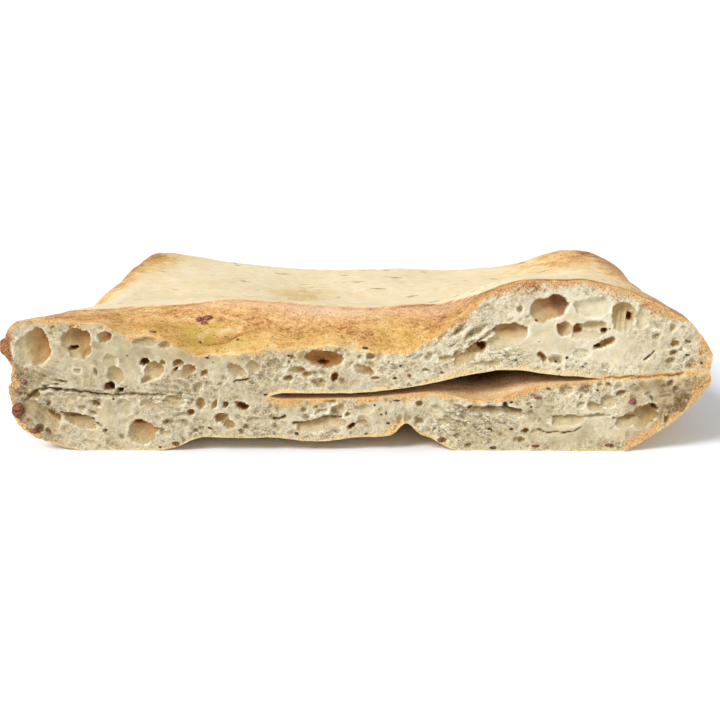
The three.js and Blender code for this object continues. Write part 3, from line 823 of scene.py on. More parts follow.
# A torn membrane that hangs from the pocket's lower lip over the crevice below it
FLAP = {"low": 13.3, "top": (15.6, 18.2), "in": (26, 30), "end": (40, 44), "out": 0.9}
FACE_WAVES = {"broad": (0.42, 5.0), "middle": (0.20, 1.5), "fine": (0.08, 0.8)}  # height and reach
# How far the finer waves and the bubbles show in smooth crumb, and how much more in dense crumb
WAVES_SHOW = (0.35, 0.8)
BUBBLES_SHOW = (0.12, 0.78)
# Painted highlight: the lips of the cells are painted paler
LIP_LIGHT = 0.35  # how much paler the lips of the cells are
# Painted shade: the two values below set how hollows, which are painted darker, are told from ridges
CELL_EDGE = 0.35  # depth to which a cell counts when hollows are told from ridges
HOLLOW_REACH = 1.1  # of the stretch that each place is set against, to tell hollows from ridges


def crumb_relief(xs, zs, bread_settings):
    """Maps of the knife's face, as rows of z by columns of x: how far behind the flat cut each point
    reaches, and what tells the crumb's colours."""
    seed = bread_settings.seed
    x, z = np.meshgrid(xs, zs)
    flat = np.stack([x.ravel(), np.zeros(x.size), z.ravel()], axis=1)
    noise = Noise(seed + 1)

    def rough(size, shift):
        return noise.layered(flat + shift, size, 2).reshape(x.shape)

    def waves(name, shift):
        height, reach = FACE_WAVES[name]
        return height * rough(reach, shift)

    bent_x, bent_z = x + 0.30 * rough(1.5, 61), z + 0.30 * rough(1.5, 71)
    cells, inside, lips, walls, brown = cell_depths(bent_x, bent_z, xs, zs, seed)
    cracks = crease_depths(bent_x, bent_z + 0.6 * rough(3.0, 12), xs, zs, rough(2.0, 33))
    hollow = bubble_depths(x + 0.5 * rough(2.6, 3), z + 0.5 * rough(2.6, 23), xs, zs, crumb_bubbles(seed))
    dense = crumb_density(x, z, rough(8.0, 44))
    hollow = hollow * (BUBBLES_SHOW[0] + BUBBLES_SHOW[1] * dense)
    folds, fibrous = np.zeros(x.shape), np.zeros(x.shape)
    for fx, fz, reach_x, reach_z, lean, height in FIBRES:
        share = hump(x, fx, reach_x) * hump(z, fz, reach_z)
        fibrous = np.maximum(fibrous, share)
        across = (z - fz) * math.cos(lean) - (x - fx) * math.sin(lean)
        folds += height * share * np.abs(np.sin(across * 2.1 + 1.6 * rough(4.0, 77)))
    finer = (waves("middle", 90) + waves("fine", 95)) * (WAVES_SHOW[0] + WAVES_SHOW[1] * dense)
    fine = waves("broad", 0) + finer
    from_side = x - left_edge(0.0) - LAYERS["lower"]["inset"]["left"]
    turned = TURNED["back"] * hump(z, TURNED["at"], TURNED["reach"]) * fall(from_side, TURNED["over"])
    torn = FLAP["low"] + 0.9 * np.abs(np.sin(x * 0.62)) + 0.5 * rough(2.0, 51)
    flap = FLAP["out"] * rise(z - torn, (-0.1, 0.35)) * fall(z, FLAP["top"])
    flap = flap * rise(x, FLAP["in"]) * fall(x, FLAP["end"])
    hollow = hollow * (1 - 0.7 * inside) * (1 - 0.8 * flap / FLAP["out"])
    small = fine + folds + np.maximum(cracks, hollow) - flap
    shallow = small + np.minimum(cells, CELL_EDGE)
    reach = round(HOLLOW_REACH / (xs[1] - xs[0]))
    # Painted highlight: the lips of the cells are painted paler
    lit = LIP_LIGHT * lips * rise(rough(2.5, 83), (-0.2, 0.3))
    return {
        "x": xs,
        "z": zs,
        "relief": knife_waver(x, z) + small + cells + turned,
        "behind": small + cells,
        # This map is painted shade: places that lie deeper than the crumb around them are painted darker,
        # ridges paler
        "hollowness": shallow - evened(shallow, reach) - lit,
        "walls": walls,
        "brown": brown,
        "fibres": fibrous,
        "dense": dense,
    }


# Where the crumb's membranes are thick and smooth, with few small bubbles: x, z, reach along x, along z
SMOOTH = (
    (-86, 28, 13, 8),
    (-66, 29, 8, 5),
    (-47, 28, 10, 3),
    (-72, 10, 8, 5),
    (-26, 16, 8, 3),
    (60, 39, 15, 7),
    (72, 31, 8, 4),
    (50, 32, 8, 3),
    (75, 5.5, 10, 3),
    (58, 5, 8, 3),
)
DENSITY = {"even": 0.66, "less": 0.65, "uneven": 0.7}  # on average, less where it is smooth, up and down


def crumb_density(x, z, uneven):
    """How thickly small bubbles, fibres and specks fill the crumb at each place, 0 to 1."""
    smooth = sum(hump(x, at, reach_x) * hump(z, height, reach_z) for at, height, reach_x, reach_z in SMOOTH)
    return rise(DENSITY["even"] - DENSITY["less"] * smooth + DENSITY["uneven"] * uneven, (0, 1))


# The slab that cuts: it starts under the bread, and its face waves a little
KNIFE = {"width": 214.0, "height": 56.0, "under": 2.0, "length": 14.0, "waver": 0.45}
GRID_SHIFT = 0.35  # of the spacing of the face's points


def knife_waver(x, z):
    return KNIFE["waver"] * np.sin(x / 17 + z / 11)


def knife_block(bread_settings):
    """The knife: a slab in front of the cut, whose face carries the crumb's fine relief."""
    step = bread_settings.crumb_step / MM * 1
    columns, rows = round(KNIFE["width"] / step), round(KNIFE["height"] / step)
    bpy.ops.mesh.primitive_grid_add(
        x_subdivisions=columns, y_subdivisions=rows, size=1.0, location=(0, 0, 0), rotation=(0, 0, 0)
    )
    knife = name_new("knife")
    flat = read_places(knife)
    column = np.rint((flat[:, 0] + 0.5) * columns).astype(int)
    row = np.rint((flat[:, 1] + 0.5) * rows).astype(int)
    xs = (np.arange(columns + 1) / columns - 0.5) * KNIFE["width"]
    zs = np.arange(rows + 1) / rows * KNIFE["height"] - KNIFE["under"]
    write_places(knife, to_metres(xs[column], -KNIFE["length"], zs[row]))
    make_active(knife)
    bpy.ops.object.mode_set(mode="EDIT")
    bpy.ops.mesh.select_all(action="SELECT")
    bpy.ops.mesh.extrude_region_move(TRANSFORM_OT_translate={"value": (0, KNIFE["length"] * MM, 0)})
    bpy.ops.mesh.select_all(action="SELECT")
    bpy.ops.mesh.normals_make_consistent(inside=False)
    bpy.ops.object.mode_set(mode="OBJECT")
    places = read_places(knife)
    x, s, z = to_shape(places)
    face = s > -1
    maps = crumb_relief(xs, zs, bread_settings)
    s[face] = sample(maps, "relief", x[face], z[face])
    # shifted a little within the face too, so that the grid doesn't show
    noise = Noise(bread_settings.seed + 2)
    spot = np.stack([x[face], z[face], np.zeros(face.sum())], axis=1)
    x[face] += GRID_SHIFT * step * noise.at(spot, 0.7)
    z[face] += GRID_SHIFT * step * noise.at(spot + 31, 0.7)
    write_places(knife, to_metres(x, s, z))
    knife.data.materials.append(bpy.data.materials["crumb"])
    return knife, maps


def evened(values, reach):
    """A grid's values, evened out over some steps each way."""
    for axis in (0, 1, 0, 1):
        values = sum(np.roll(values, shift, axis) for shift in range(-reach, reach + 1)) / (2 * reach + 1)
    return values


def sample(maps, name, x, z):
    """A map's value at the grid point that is nearest to each place."""
    columns, rows = maps["x"], maps["z"]
    i = np.rint((x - columns[0]) / (columns[1] - columns[0])).astype(int)
    j = np.rint((z - rows[0]) / (rows[1] - rows[0])).astype(int)
    return maps[name][np.clip(j, 0, len(rows) - 1), np.clip(i, 0, len(columns) - 1)]


# Where the top crust tore open below the ridge
FOLD = {
    "from": (-48.5, 5.6),  # x and s at which the upper lip of the tear starts
    "to": (-33.0, 6.9),
    "middle": -41.5,
    "reach": 7.0,
    "lip": 1.0,  # how far the lip stands up
    "hollow": 3.6,
    "back": (1.8, 0.8),  # from the lip to where it is deepest, at the left and at the right end
    "narrowing": (-47, -35),
    "dark": -37.5,  # x at which the painted shadow under the lip is darkest
    "reach_dark": 6.5,
}


def below_fold(x, s):
    """How far in front of the torn lip each place of the top crust lies."""
    (from_x, from_s), (to_x, to_s) = FOLD["from"], FOLD["to"]
    lip = from_s + (to_s - from_s) * (x - from_x) / (to_x - from_x)
    return lip + 0.2 * np.sin(x * 0.7) - s


def burst_fold(x, s, z):
    """How far the tear moves the top crust in or out."""
    below = below_fold(x, s)
    share = hump(x, FOLD["middle"], FOLD["reach"]) * (z > 26)
    under = np.maximum(0, below) / mix(*FOLD["back"], rise(x, FOLD["narrowing"]))
    return share * (FOLD["lip"] * hump(below, -0.9, 1.0) - FOLD["hollow"] * under * np.exp(1 - under))


# On the left the seam is nearly closed, and the upper layer draws in below the tab
SIDE_SEAM = {"filled": 1.8, "z": 19.5, "reach": 3.2, "drawn_in": 1.3, "drawn_z": 25.0, "drawn_reach": 2.6}
RAGGED = 0.6  # how uneven the front edge of the top crust is, where the knife went through
SKIN = {"broad": (0.34, 7.0), "fine": (0.20, 2.6)}  # height and reach of the unevenness all over


def roughen_crust(loaf):
    """Fine unevenness of the baked skin, along its normals."""
    places = read_places(loaf)
    x, s, z = to_shape(places)
    points = np.stack([x, s, z], axis=1)
    noise = Noise(11)
    in_pocket = rise(open_gap(x, np.maximum(s, 0)), (0.3, 1.5)) * hump(z, 19, 6)
    (broad, broad_reach), (fine, fine_reach) = SKIN["broad"], SKIN["fine"]
    rough = broad * noise.layered(points, broad_reach) + fine * noise.layered(points + 50, fine_reach, 2)
    rough = rough * (1 - 0.5 * in_pocket)
    front_edge = rise(z, (24, 30)) * fall(s, (0, 5))
    rough += RAGGED * front_edge * noise.layered(points + 90, 3.2, 3)
    rough += burst_fold(x, s, z)
    at_left = fall(x, (-94, -86)) * fall(s, (8, 24))
    filled = SIDE_SEAM["filled"] * hump(z, SIDE_SEAM["z"], SIDE_SEAM["reach"])
    drawn_in = SIDE_SEAM["drawn_in"] * hump(z, SIDE_SEAM["drawn_z"], SIDE_SEAM["drawn_reach"])
    rough += at_left * (filled - drawn_in)
    moved = places + read_normals(loaf) * rough[:, None] * MM
    moved[:, 2] = np.maximum(moved[:, 2], 0)
    on_table = z < 1e-4
    moved[on_table, 2] = 0
    write_places(loaf, moved)


# Where the crust baked darker, as seen from above: x, s, reach along x, reach along s, how much darker
BROWNED = (
    (-85, 128, 12, 26, 0.68),
    (-86, 75, 4, 55, 0.42),
    (86, 124, 22, 26, 0.40),
    (97, 70, 9, 80, 0.34),
    (90, 8, 16, 14, 0.42),
    (-22, 65, 9, 16, 0.10),
    (-49, 52, 9, 6, 0.16),
    (0, 144, 100, 3, 0.12),
    (-95, 5, 6, 12, 0.20),
)
# Where oil left the crust olive yellow, the same
OILY = (
    (-42.5, 4.6, 7.6, 2.6, 1.9),
    (-60, 4, 10, 5, 0.5),
    (-20, 2, 26, 4, 0.45),
    (30, 1, 16, 4, 0.35),
    (-78, 128, 9, 18, 0.5),
    (8, 7, 5, 5, 0.4),
    (15, 4, 5, 4, 0.4),
    (-21, 72, 9, 18, 0.6),
)
# Where flour stayed on the ridge, the same
FLOURY = (
    (-10, 14, 22, 3.2, 1.0),
    (25, 11, 10, 4, 0.5),
    (-42, 15, 8, 3, 0.4),
)
# How brown the strip in front of the ridge is: shares of the way from the ridge to the cut, and the
# tones there
STRIP = ((0.0, 0.08, 0.25, 0.45, 0.7, 0.9, 1.0), (0.62, 0.50, 0.48, 0.53, 0.57, 0.48, 0.38))
STRIP_RIGHT = ((0.13, (4, 20)), (0.08, (26, 44)))  # how much browner it gets, and over which stretch of x
RIDGE_LINE = {"left": 16.5, "right": 4.5, "over": (20, 44)}  # s of the ridge, where the strip starts
RIDGE_EDGE = {"more": 0.28, "at": 0.2, "reach": 0.9}  # the thin browner line along the ridge
TORN_SHADOW = {"dark": 0.62, "line": 0.22}  # how much darker the tear's lip is painted, as painted shadow under it, at its darkest and along its line
# How brown the crust is where nothing adds to it, and how much the browned places may add to the top
PLAIN = {"top": 0.10, "side": 0.31, "under": 0.32, "tab": 0.84}
MOST_BROWNED = 0.64
# How brown the pocket is: at its lip, where it is baked, and how much darker it is painted over two
# stretches of s behind it, as painted shade deeper in the pocket
POCKET_FLOOR_BAKE_AND_SHADE = (0.33, (0.10, (1, 9)), (0.32, (9, 20)))
POCKET_CEILING_BAKE_AND_SHADE = (0.34, (0.66, (0.5, 4)))
POCKET_DUST = 0.45  # how floury the pocket's floor is at its lip


def spread(patches, x, s, uneven):
    """How strongly patches of the crust show at each place."""
    total = np.zeros(x.shape)
    for at, behind, reach_x, reach_s, strength in patches:
        total += strength * np.exp(-(((x - at) / reach_x) ** 2) - ((s - behind) / reach_s) ** 2)
    return total * (1 + 0.5 * uneven)


def stepped(at, start, *steps):
    """A start value, with more added over each of some stretches."""
    value = start
    for more, over in steps:
        value = value + more * rise(at, over)
    return value


def bake_tones(x, s, z, up):
    """How brown, oily and floury each place of the crust is, 0 to 1. up is its normal's height part."""
    points = np.stack([x, s, z], axis=1)
    noise = Noise(21)
    broad = noise.layered(points * (1, 1, 0.6), 26.0)
    medium = noise.layered(points + 60, 7.0)
    small = noise.layered(points + 130, 2.6, 2)
    top = PLAIN["top"] + 0.06 * broad + 0.05 * medium + 0.03 * small
    top = top + np.minimum(MOST_BROWNED, spread(BROWNED, x, s, medium))
    ridge_line = mix(RIDGE_LINE["left"], RIDGE_LINE["right"], rise(x, RIDGE_LINE["over"]))
    ridge_line = ridge_line + 1.2 * noise.layered(points + 7, 9.0)
    from_ridge = ridge_line - s + 0.5 * small
    front = rise(from_ridge, (-0.6, 0.8))
    drawn = noise.layered(points * (0.4, 1, 1.3) + 40, 3.4)
    strip = np.interp(from_ridge / ridge_line, *STRIP) + 0.06 * medium + 0.10 * drawn
    strip = strip + RIDGE_EDGE["more"] * hump(from_ridge, RIDGE_EDGE["at"], RIDGE_EDGE["reach"])
    strip = stepped(x, strip, *STRIP_RIGHT)
    # Painted shadow: the crust just below the torn lip is painted darker, most towards its right end, with a
    # darker line along the lip
    torn = hump(below_fold(x, s), 0.5, 1.0) * hump(x, FOLD["dark"], FOLD["reach_dark"])
    line = hump(below_fold(x, s), 0.2, 0.6) * hump(x, FOLD["middle"], FOLD["reach"])
    strip = strip + TORN_SHADOW["dark"] * torn + TORN_SHADOW["line"] * line
    top = mix(top, strip, front)
    side = PLAIN["side"] + 0.12 * broad + 0.08 * medium + 0.05 * small
    under = PLAIN["under"] + 0.14 * broad + 0.16 * medium + 0.10 * small
    tone = mix(side, top, rise(up, (0.25, 0.75)))
    tone = mix(tone, under, rise(-up, (0.3, 0.8)))
    tab = fall(x, (-99.0, -97.0)) * np.minimum(1, hump(z, TAB["z"], 4, 1.8)) * fall(s, (6, 14))
    tone = mix(tone, PLAIN["tab"] + 0.10 * small, tab)
    # Painted shade: the crust is painted darker low on the left side, where it rounds under
    low_left = 0.2 * fall(x, (-97, -91)) * fall(z, (12, 20)) * fall(s, (10, 30))
    tone = tone + low_left
    # Painted shade: the pocket's floor and ceiling are painted darker the deeper in they lie, the ceiling
    # darker still
    pocket = rise(open_gap(x, np.maximum(s, 0)), (0.2, 1.0)) * (np.abs(z - seam(x, s)) < 9) * (s < 95)
    floor = stepped(s, *POCKET_FLOOR_BAKE_AND_SHADE) + 0.10 * medium + 0.12 * drawn
    inside = mix(stepped(s, *POCKET_CEILING_BAKE_AND_SHADE), floor, rise(up, (-0.2, 0.3)))
    open_side = rise(up, (-0.2, 0.1))
    oily = spread(OILY, x, s, small) * open_side * (1 - 0.9 * torn)
    floury = spread(FLOURY, x, s, medium) * open_side * front
    floury = floury + POCKET_DUST * pocket * open_side * fall(s, (4, 14))
    return np.clip(mix(tone, inside, pocket), 0, 1), np.clip(oily, 0, 1), np.clip(floury, 0, 1)


# How far the bake reaches into the crumb from each border of the cut, in millimetres, and how brown it is
BORDERS = {
    "top": (0.7, 0.42),
    "dome": (1.3, 0.58),
    "bottom": (0.5, 0.24),
    "right": (2.8, 0.64),
    "low_left": (2.4, 0.72),
    "high_left": (0.8, 0.64),
    "upper_lip": (1.0, 0.12),
    "lower_lip": (1.3, 0.44),
}
TAB_TONE = 0.99  # how brown the tab is where the knife went through it
# The baked line in which the two layers' crusts meet right of the pocket: its x and z, width and tone
BAKED_LINE = ((52, 21.6), (62, 21.8), (78, 22.2), (92, 23.0), (101, 23.6))
LINE_WIDTH = 0.9
LINE_TONE = 0.42


def border_tones(x, s, z, to_crust):
    """How near the crust each place of the crumb is, as a share of how far the bake reaches there, and how
    brown that is. to_crust leads from the place to the nearest crust."""
    away = np.linalg.norm(to_crust, axis=1)
    toward = to_crust / np.maximum(away, 1e-6)[:, None]
    share = {"top": np.clip(toward[:, 2], 0, 1) * fall(x, (16, 34)), "bottom": np.clip(-toward[:, 2], 0, 1)}
    share["dome"] = np.clip(toward[:, 2], 0, 1) * rise(x, (16, 34))
    share["right"] = np.clip(toward[:, 0], 0, 1) * (x > 0)
    left = np.clip(-toward[:, 0], 0, 1) * (x < -60)
    share["high_left"] = left * rise(z, (20, 26))
    share["low_left"] = left * fall(z, (20, 26))
    lips = 8 * (open_gap(x, 0.0) > FUSED) * (np.abs(z - seam(x, 0.0)) < open_gap(x, 0.0) + 2.5)
    share["upper_lip"] = lips * (z > seam(x, 0.0))
    share["lower_lip"] = lips * (z <= seam(x, 0.0))
    total = sum(share.values()) + 1e-6
    width = sum(share[name] * BORDERS[name][0] for name in BORDERS) / total
    tone = sum(share[name] * BORDERS[name][1] for name in BORDERS) / total
    noise, points = Noise(33), np.stack([x, s, z], axis=1)
    rough, patchy = noise.layered(points, 2.6, 3), noise.layered(points + 40, 11.0)
    edge = away / np.maximum(width * (1 + 1.3 * rough + 1.5 * patchy), 0.06)
    line = np.abs(z - np.interp(x, *zip(*BAKED_LINE)) - 0.4 * rough) / LINE_WIDTH
    line = line + FAR * fall(x, (BAKED_LINE[0][0], BAKED_LINE[0][0] + 4))
    tone = mix(tone, LINE_TONE, line < edge) * (1 + 0.4 * rough + 0.5 * patchy)
    edge = np.minimum(edge, line)
    tab = fall(x, (-99.8, -98.4)) * np.minimum(1, hump(z, TAB["z"], 3.6, 1.8))
    return edge * (1 - tab), mix(tone, TAB_TONE + 0.1 * rough, tab)


# Where the crumb is painted darker, growing towards the left and in some places; at the right end, which
# turns away from the light, this is painted shade. How much, and the stretches of x and z over which that
# comes in
SHADED = (
    (0.35, (90, -40), (60, 70)),
    (0.40, (-84, -97), (22, 30)),
    (0.21, (20, 30), (18, 24)),
    (0.36, (68, 92), (20, 30)),
    (0.14, (-82, -93), (14, 19)),
    (0.18, (72, 88), (60, 70)),
)


def add_tones(bread, crust_tree, maps):
    """Writes the tones that the materials read onto the bread's vertices."""
    places = read_places(bread)
    x, s, z = to_shape(places)
    bake, oily, floury = bake_tones(x, s, z, read_normals(bread)[:, 2])
    to_crust = np.full(places.shape, FAR)
    for index in np.nonzero(s < FAR)[0]:
        found = crust_tree.find_nearest(Vector(places[index]), 6 * MM)
        if found[0] is not None:
            to_crust[index] = (np.array(found[0]) - places[index]) / MM
    edge, edge_bake = border_tones(x, s, z, to_crust)
    tones = {"bake": bake, "oily": oily, "floury": floury, "edge": edge, "edge_bake": edge_bake}
    for name in ("behind", "hollowness", "walls", "brown", "fibres", "dense"):
        tones[name] = sample(maps, name, x, z)
    # Crumb painted darker, as painted shade at the right end
    for more, over, below in SHADED:
        tones["hollowness"] += more * rise(x, over) * fall(z, below)
    for name, values in tones.items():
        attribute = bread.data.attributes.new(name, "FLOAT", "POINT")
        attribute.data.foreach_set("value", values.astype(np.float32))


def baked_tree(loaf):
    """A search tree over the baked skin alone, without the plain end in front of the knife."""
    places = read_places(loaf)
    front = 0.5 - OVERCUT
    faces = loaf.data.polygons
    skin = [face.vertices[:] for face in faces if to_shape(np.array(face.center))[1] > front]
    return BVHTree.FromPolygons([tuple(place) for place in places], skin)


def build_bread(bread_settings):
    """The whole piece of bread as one closed mesh, with crust and crumb as its two materials."""
    bread = layer_block("bread", LAYERS["lower"])
    upper = layer_block("upper", LAYERS["upper"])
    bread.data.materials.append(bpy.data.materials["crust"])
    apply_boolean(bread, upper, "UNION")
    apply_boolean(bread, tab_block(), "UNION")
    roughen_crust(bread)
    crust_tree = baked_tree(bread)
    bread.data.materials.append(bpy.data.materials["crumb"])
    knife, maps = knife_block(bread_settings)
    apply_boolean(bread, knife, "DIFFERENCE")
    return bread, crust_tree, maps


# ---------------------------------------------------------------------------------------------------------
# Bran and burnt bits
# ---------------------------------------------------------------------------------------------------------
# Each kind of bit: the x and z at which it shows in the plane of the cut, half its width, half its height
BITS = {
    "bran": (
        (-68.7, 18.4, 0.8, 0.7), (-70.9, 15.8, 0.4, 0.35), (-43.5, 28.0, 0.6, 0.35),
        (-20.3, 28.6, 0.45, 0.3), (1.4, 30.8, 0.8, 0.45), (-2.2, 7.9, 0.5, 0.4),
        (-18.4, 5.3, 0.6, 0.45), (10.0, 22.0, 0.7, 0.35), (11.5, 25.6, 0.45, 0.35),
        (6.1, 11.1, 0.5, 0.3), (7.5, 11.5, 0.3, 0.5), (8.1, 8.5, 0.6, 0.4), (10.5, 15.3, 1.1, 0.3),
        (4.2, 13.9, 0.35, 0.45), (-27.3, 17.0, 0.6, 0.35), (-43.5, 7.0, 0.9, 0.4),
        (-34.7, 6.5, 0.8, 0.2), (44.4, 27.3, 0.5, 0.3), (58.8, 28.0, 0.4, 0.5), (55.8, 26.8, 0.4, 0.4),
        (43.6, 14.8, 0.7, 0.35), (43.8, 6.7, 0.7, 0.4), (37.6, 6.7, 0.9, 0.5), (68.1, 18.4, 0.45, 0.4),
        (93.0, 28.8, 0.8, 0.35), (97.3, 26.5, 0.5, 0.4), (91.3, 30.2, 0.2, 0.6), (63.6, 25.4, 0.3, 0.3),
        (-45.4, 32.6, 0.35, 0.25), (-43.0, 31.6, 0.3, 0.25), (-34.7, 33.3, 0.5, 0.4),
    ),
    "red_bran": (
        (-71.7, 19.6, 1.4, 1.1), (-96.0, 20.8, 0.7, 0.8), (14.1, 22.7, 0.6, 0.6),
        (51.1, 16.1, 1.3, 0.5), (78.3, 15.0, 1.2, 0.9), (53.9, 18.9, 0.7, 0.5), (-35.7, 14.9, 0.8, 0.4),
        (49.3, 13.4, 0.4, 0.4), (49.7, 38.9, 0.6, 0.4), (-45.2, 39.2, 1.3, 0.9),
        (-42.9, 39.6, 1.4, 0.9), (-44.0, 38.2, 1.2, 0.6), (-58.6, 35.6, 1.1, 0.4),
    ),
    "burnt_bit": (
        (-98.6, 12.4, 1.7, 2.6), (-94.1, 6.0, 1.2, 0.7), (-53.5, 2.3, 1.2, 0.8), (-58.1, 1.2, 0.5, 0.4),
        (1.7, 5.2, 0.6, 0.3), (51.2, 1.5, 1.7, 0.5), (38.9, 1.0, 1.3, 0.5), (24.0, 3.5, 1.7, 0.7),
        (72.2, 1.7, 1.3, 0.5),
    ),
}
# Flecks of bran that lie about at random over the cut: how many, least and greatest half size, x and z
STRAY = {"count": 70, "least": 0.08, "greatest": 0.19, "x": (-96, 96), "z": (3, 40)}
BIT_SLOTS = {"bran": "bran", "red_bran": "bran", "burnt_bit": "bran"}
# Where the camera stands, in front of the cut and above the floor: the bits are laid as seen from there
EYE = {"distance": 303.34, "height": 105.78}
# A bit's thickness as a share of its smaller side, and how uneven it is
BIT_SHAPE = {"thin": 0.5, "uneven": 0.5}


def stray_bits(seed):
    rng = np.random.default_rng(seed + 9)
    for _ in range(STRAY["count"]):
        x, z = rng.uniform(*STRAY["x"]), rng.uniform(*STRAY["z"])
        size = rng.uniform(STRAY["least"], STRAY["greatest"])
        yield x, z, size * rng.uniform(1, 1.8), size


def bits_block(name, bits, bread_tree, seed):
    """The bits of one kind, each a small uneven flake that lies on the bread."""
    eye = Vector(to_metres(0.0, -EYE["distance"], EYE["height"]))
    laid = []
    for x, z, half_width, half_height in bits:
        toward = Vector(to_metres(x, 0.0, z)) - eye
        place, normal, _, _ = bread_tree.ray_cast(eye, toward.normalized())
        if place is not None:
            laid.append((place, normal, half_width, half_height))
    bpy.ops.mesh.primitive_ico_sphere_add(subdivisions=2, radius=1.0, location=(0, 0, 0))
    flakes = name_new(name)
    unit = read_places(flakes)
    modifier = flakes.modifiers.new("repeat", "ARRAY")
    modifier.count = len(laid)
    bpy.ops.object.modifier_apply(modifier=modifier.name)
    noise = Noise(seed)
    parts = []
    for number, (place, normal, half_width, half_height) in enumerate(laid):
        wide = Vector((1, 0, 0)) - normal * normal.x
        wide.normalize()
        tall = normal.cross(wide)
        thin = BIT_SHAPE["thin"] * min(half_width, half_height)
        ball = unit * (1 + BIT_SHAPE["uneven"] * noise.layered(unit * 2 + 9 * number, 1.4))[:, None]
        shape = ball[:, :1] * half_width * np.array(wide) + ball[:, 1:2] * half_height * np.array(tall)
        parts.append(np.array(place) + (shape + ball[:, 2:] * thin * np.array(normal)) * MM)
    write_places(flakes, np.concatenate(parts))
    make_active(flakes)
    bpy.ops.object.shade_smooth()
    flakes.data.materials.append(bpy.data.materials[name])
    return flakes


# ---------------------------------------------------------------------------------------------------------
# Materials
# ---------------------------------------------------------------------------------------------------------
def linear(red, green, blue):
    """A colour of 0 to 255 as seen on a screen, as the linear colour that Blender works in."""
    shares = [value / 255 for value in (red, green, blue)]
    return tuple(c / 12.92 if c <= 0.04045 else ((c + 0.055) / 1.055) ** 2.4 for c in shares)


class Nodes:
    """Adds and links shader nodes in one tree."""

    def __init__(self, tree):
        self.tree = tree
        tree.nodes.clear()

    def add(self, kind, inputs=None, **settings):
        node = self.tree.nodes.new(kind)
        for name, value in settings.items():
            setattr(node, name, value)
        for name, value in (inputs or {}).items():
            socket = node.inputs[name]
            if isinstance(value, bpy.types.NodeSocket):
                self.tree.links.new(value, socket)
            else:
                socket.default_value = value
        return node

    def place(self):
        return self.add("ShaderNodeTexCoord").outputs["Object"]

    def bent(self, vector, scale, detail, reach):
        """Places moved about by noise, so that a pattern looks less regular."""
        wander = self.add("ShaderNodeTexNoise", {"Vector": vector, "Scale": scale, "Detail": detail})
        inputs = {0: wander.outputs["Color"], "Scale": reach}
        moved = self.add("ShaderNodeVectorMath", inputs, operation="SCALE").outputs[0]
        return self.add("ShaderNodeVectorMath", {0: vector, 1: moved}).outputs[0]

    def math(self, operation, a, b=0.0, clamp=False):
        return self.add("ShaderNodeMath", {0: a, 1: b}, operation=operation, use_clamp=clamp).outputs[0]

    def span(self, value, low, high, to_low=0.0, to_high=1.0):
        inputs = {"Value": value, "From Min": low, "From Max": high, "To Min": to_low, "To Max": to_high}
        return self.add("ShaderNodeMapRange", inputs, interpolation_type="SMOOTHSTEP").outputs[0]

    def blend(self, share, a, b):
        node = self.add("ShaderNodeMix", data_type="RGBA")
        # the sockets of the node's colour mode
        for socket, value in zip([node.inputs[0], node.inputs[6], node.inputs[7]], (share, a, b)):
            if isinstance(value, bpy.types.NodeSocket):
                self.tree.links.new(value, socket)
            else:
                socket.default_value = (*value, 1.0) if isinstance(value, tuple) else value
        return node.outputs[2]

    def ramp(self, value, stops):
        node = self.add("ShaderNodeValToRGB", {"Fac": value})
        elements = node.color_ramp.elements
        while len(elements) < len(stops):
            elements.new(0.5)
        for element, (position, colour) in zip(elements, stops):
            element.position = position
            element.color = (*colour, 1.0)
        return node.outputs["Color"]

    def noise(self, vector, scale, detail=3.0, rough=0.55, shift=0.0):
        if shift:
            vector = self.add("ShaderNodeVectorMath", {0: vector, 1: (shift, shift, shift)}).outputs[0]
        inputs = {"Vector": vector, "Scale": scale, "Detail": detail, "Roughness": rough}
        return self.add("ShaderNodeTexNoise", inputs).outputs["Fac"]

    def voronoi(self, vector, scale, feature="F1"):
        return self.add("ShaderNodeTexVoronoi", {"Vector": vector, "Scale": scale}, feature=feature)

    def attribute(self, name):
        node = self.add("ShaderNodeAttribute", attribute_name=name, attribute_type="GEOMETRY")
        return node.outputs["Fac"]

    def group(self, name, inputs):
        node = self.add("ShaderNodeGroup", node_tree=bpy.data.node_groups[name])
        for key, value in inputs.items():
            if isinstance(value, bpy.types.NodeSocket):
                self.tree.links.new(value, node.inputs[key])
            else:
                node.inputs[key].default_value = value
        return node


def new_group(name, inputs, outputs):
    tree = bpy.data.node_groups.new(name, "ShaderNodeTree")
    for socket, default in inputs.items():
        made = tree.interface.new_socket(name=socket, in_out="INPUT", socket_type="NodeSocketFloat")
        made.default_value = default
    for socket in outputs:
        tree.interface.new_socket(name=socket, in_out="OUTPUT", socket_type="NodeSocketFloat")
    nodes = Nodes(tree)
    return nodes, nodes.add("NodeGroupInput"), nodes.add("NodeGroupOutput")


def make_speck_group():
    """Specks of about one size, scattered with a given share of places filled."""
    nodes, given, out = new_group("Specks", {"Spacing": 1.0, "Radius": 0.3, "Share": 0.5}, ("Mask",))
    place = nodes.bent(nodes.place(), 900.0, 1.0, 0.0004)
    scale = nodes.math("DIVIDE", 1000.0, given.outputs["Spacing"])
    cells = nodes.voronoi(place, scale)
    # each cell of the pattern may hold one speck
    chance = nodes.add("ShaderNodeSeparateColor", {"Color": cells.outputs["Color"]}).outputs[0]
    chosen = nodes.math("LESS_THAN", chance, given.outputs["Share"])
    reach = nodes.math("DIVIDE", given.outputs["Radius"], given.outputs["Spacing"])
    inner = nodes.math("MULTIPLY", reach, 0.6)
    limits = {"Value": cells.outputs["Distance"], "From Min": reach, "From Max": inner}
    inside = nodes.add("ShaderNodeMapRange", limits).outputs[0]
    nodes.tree.links.new(nodes.math("MULTIPLY", inside, chosen), out.inputs["Mask"])


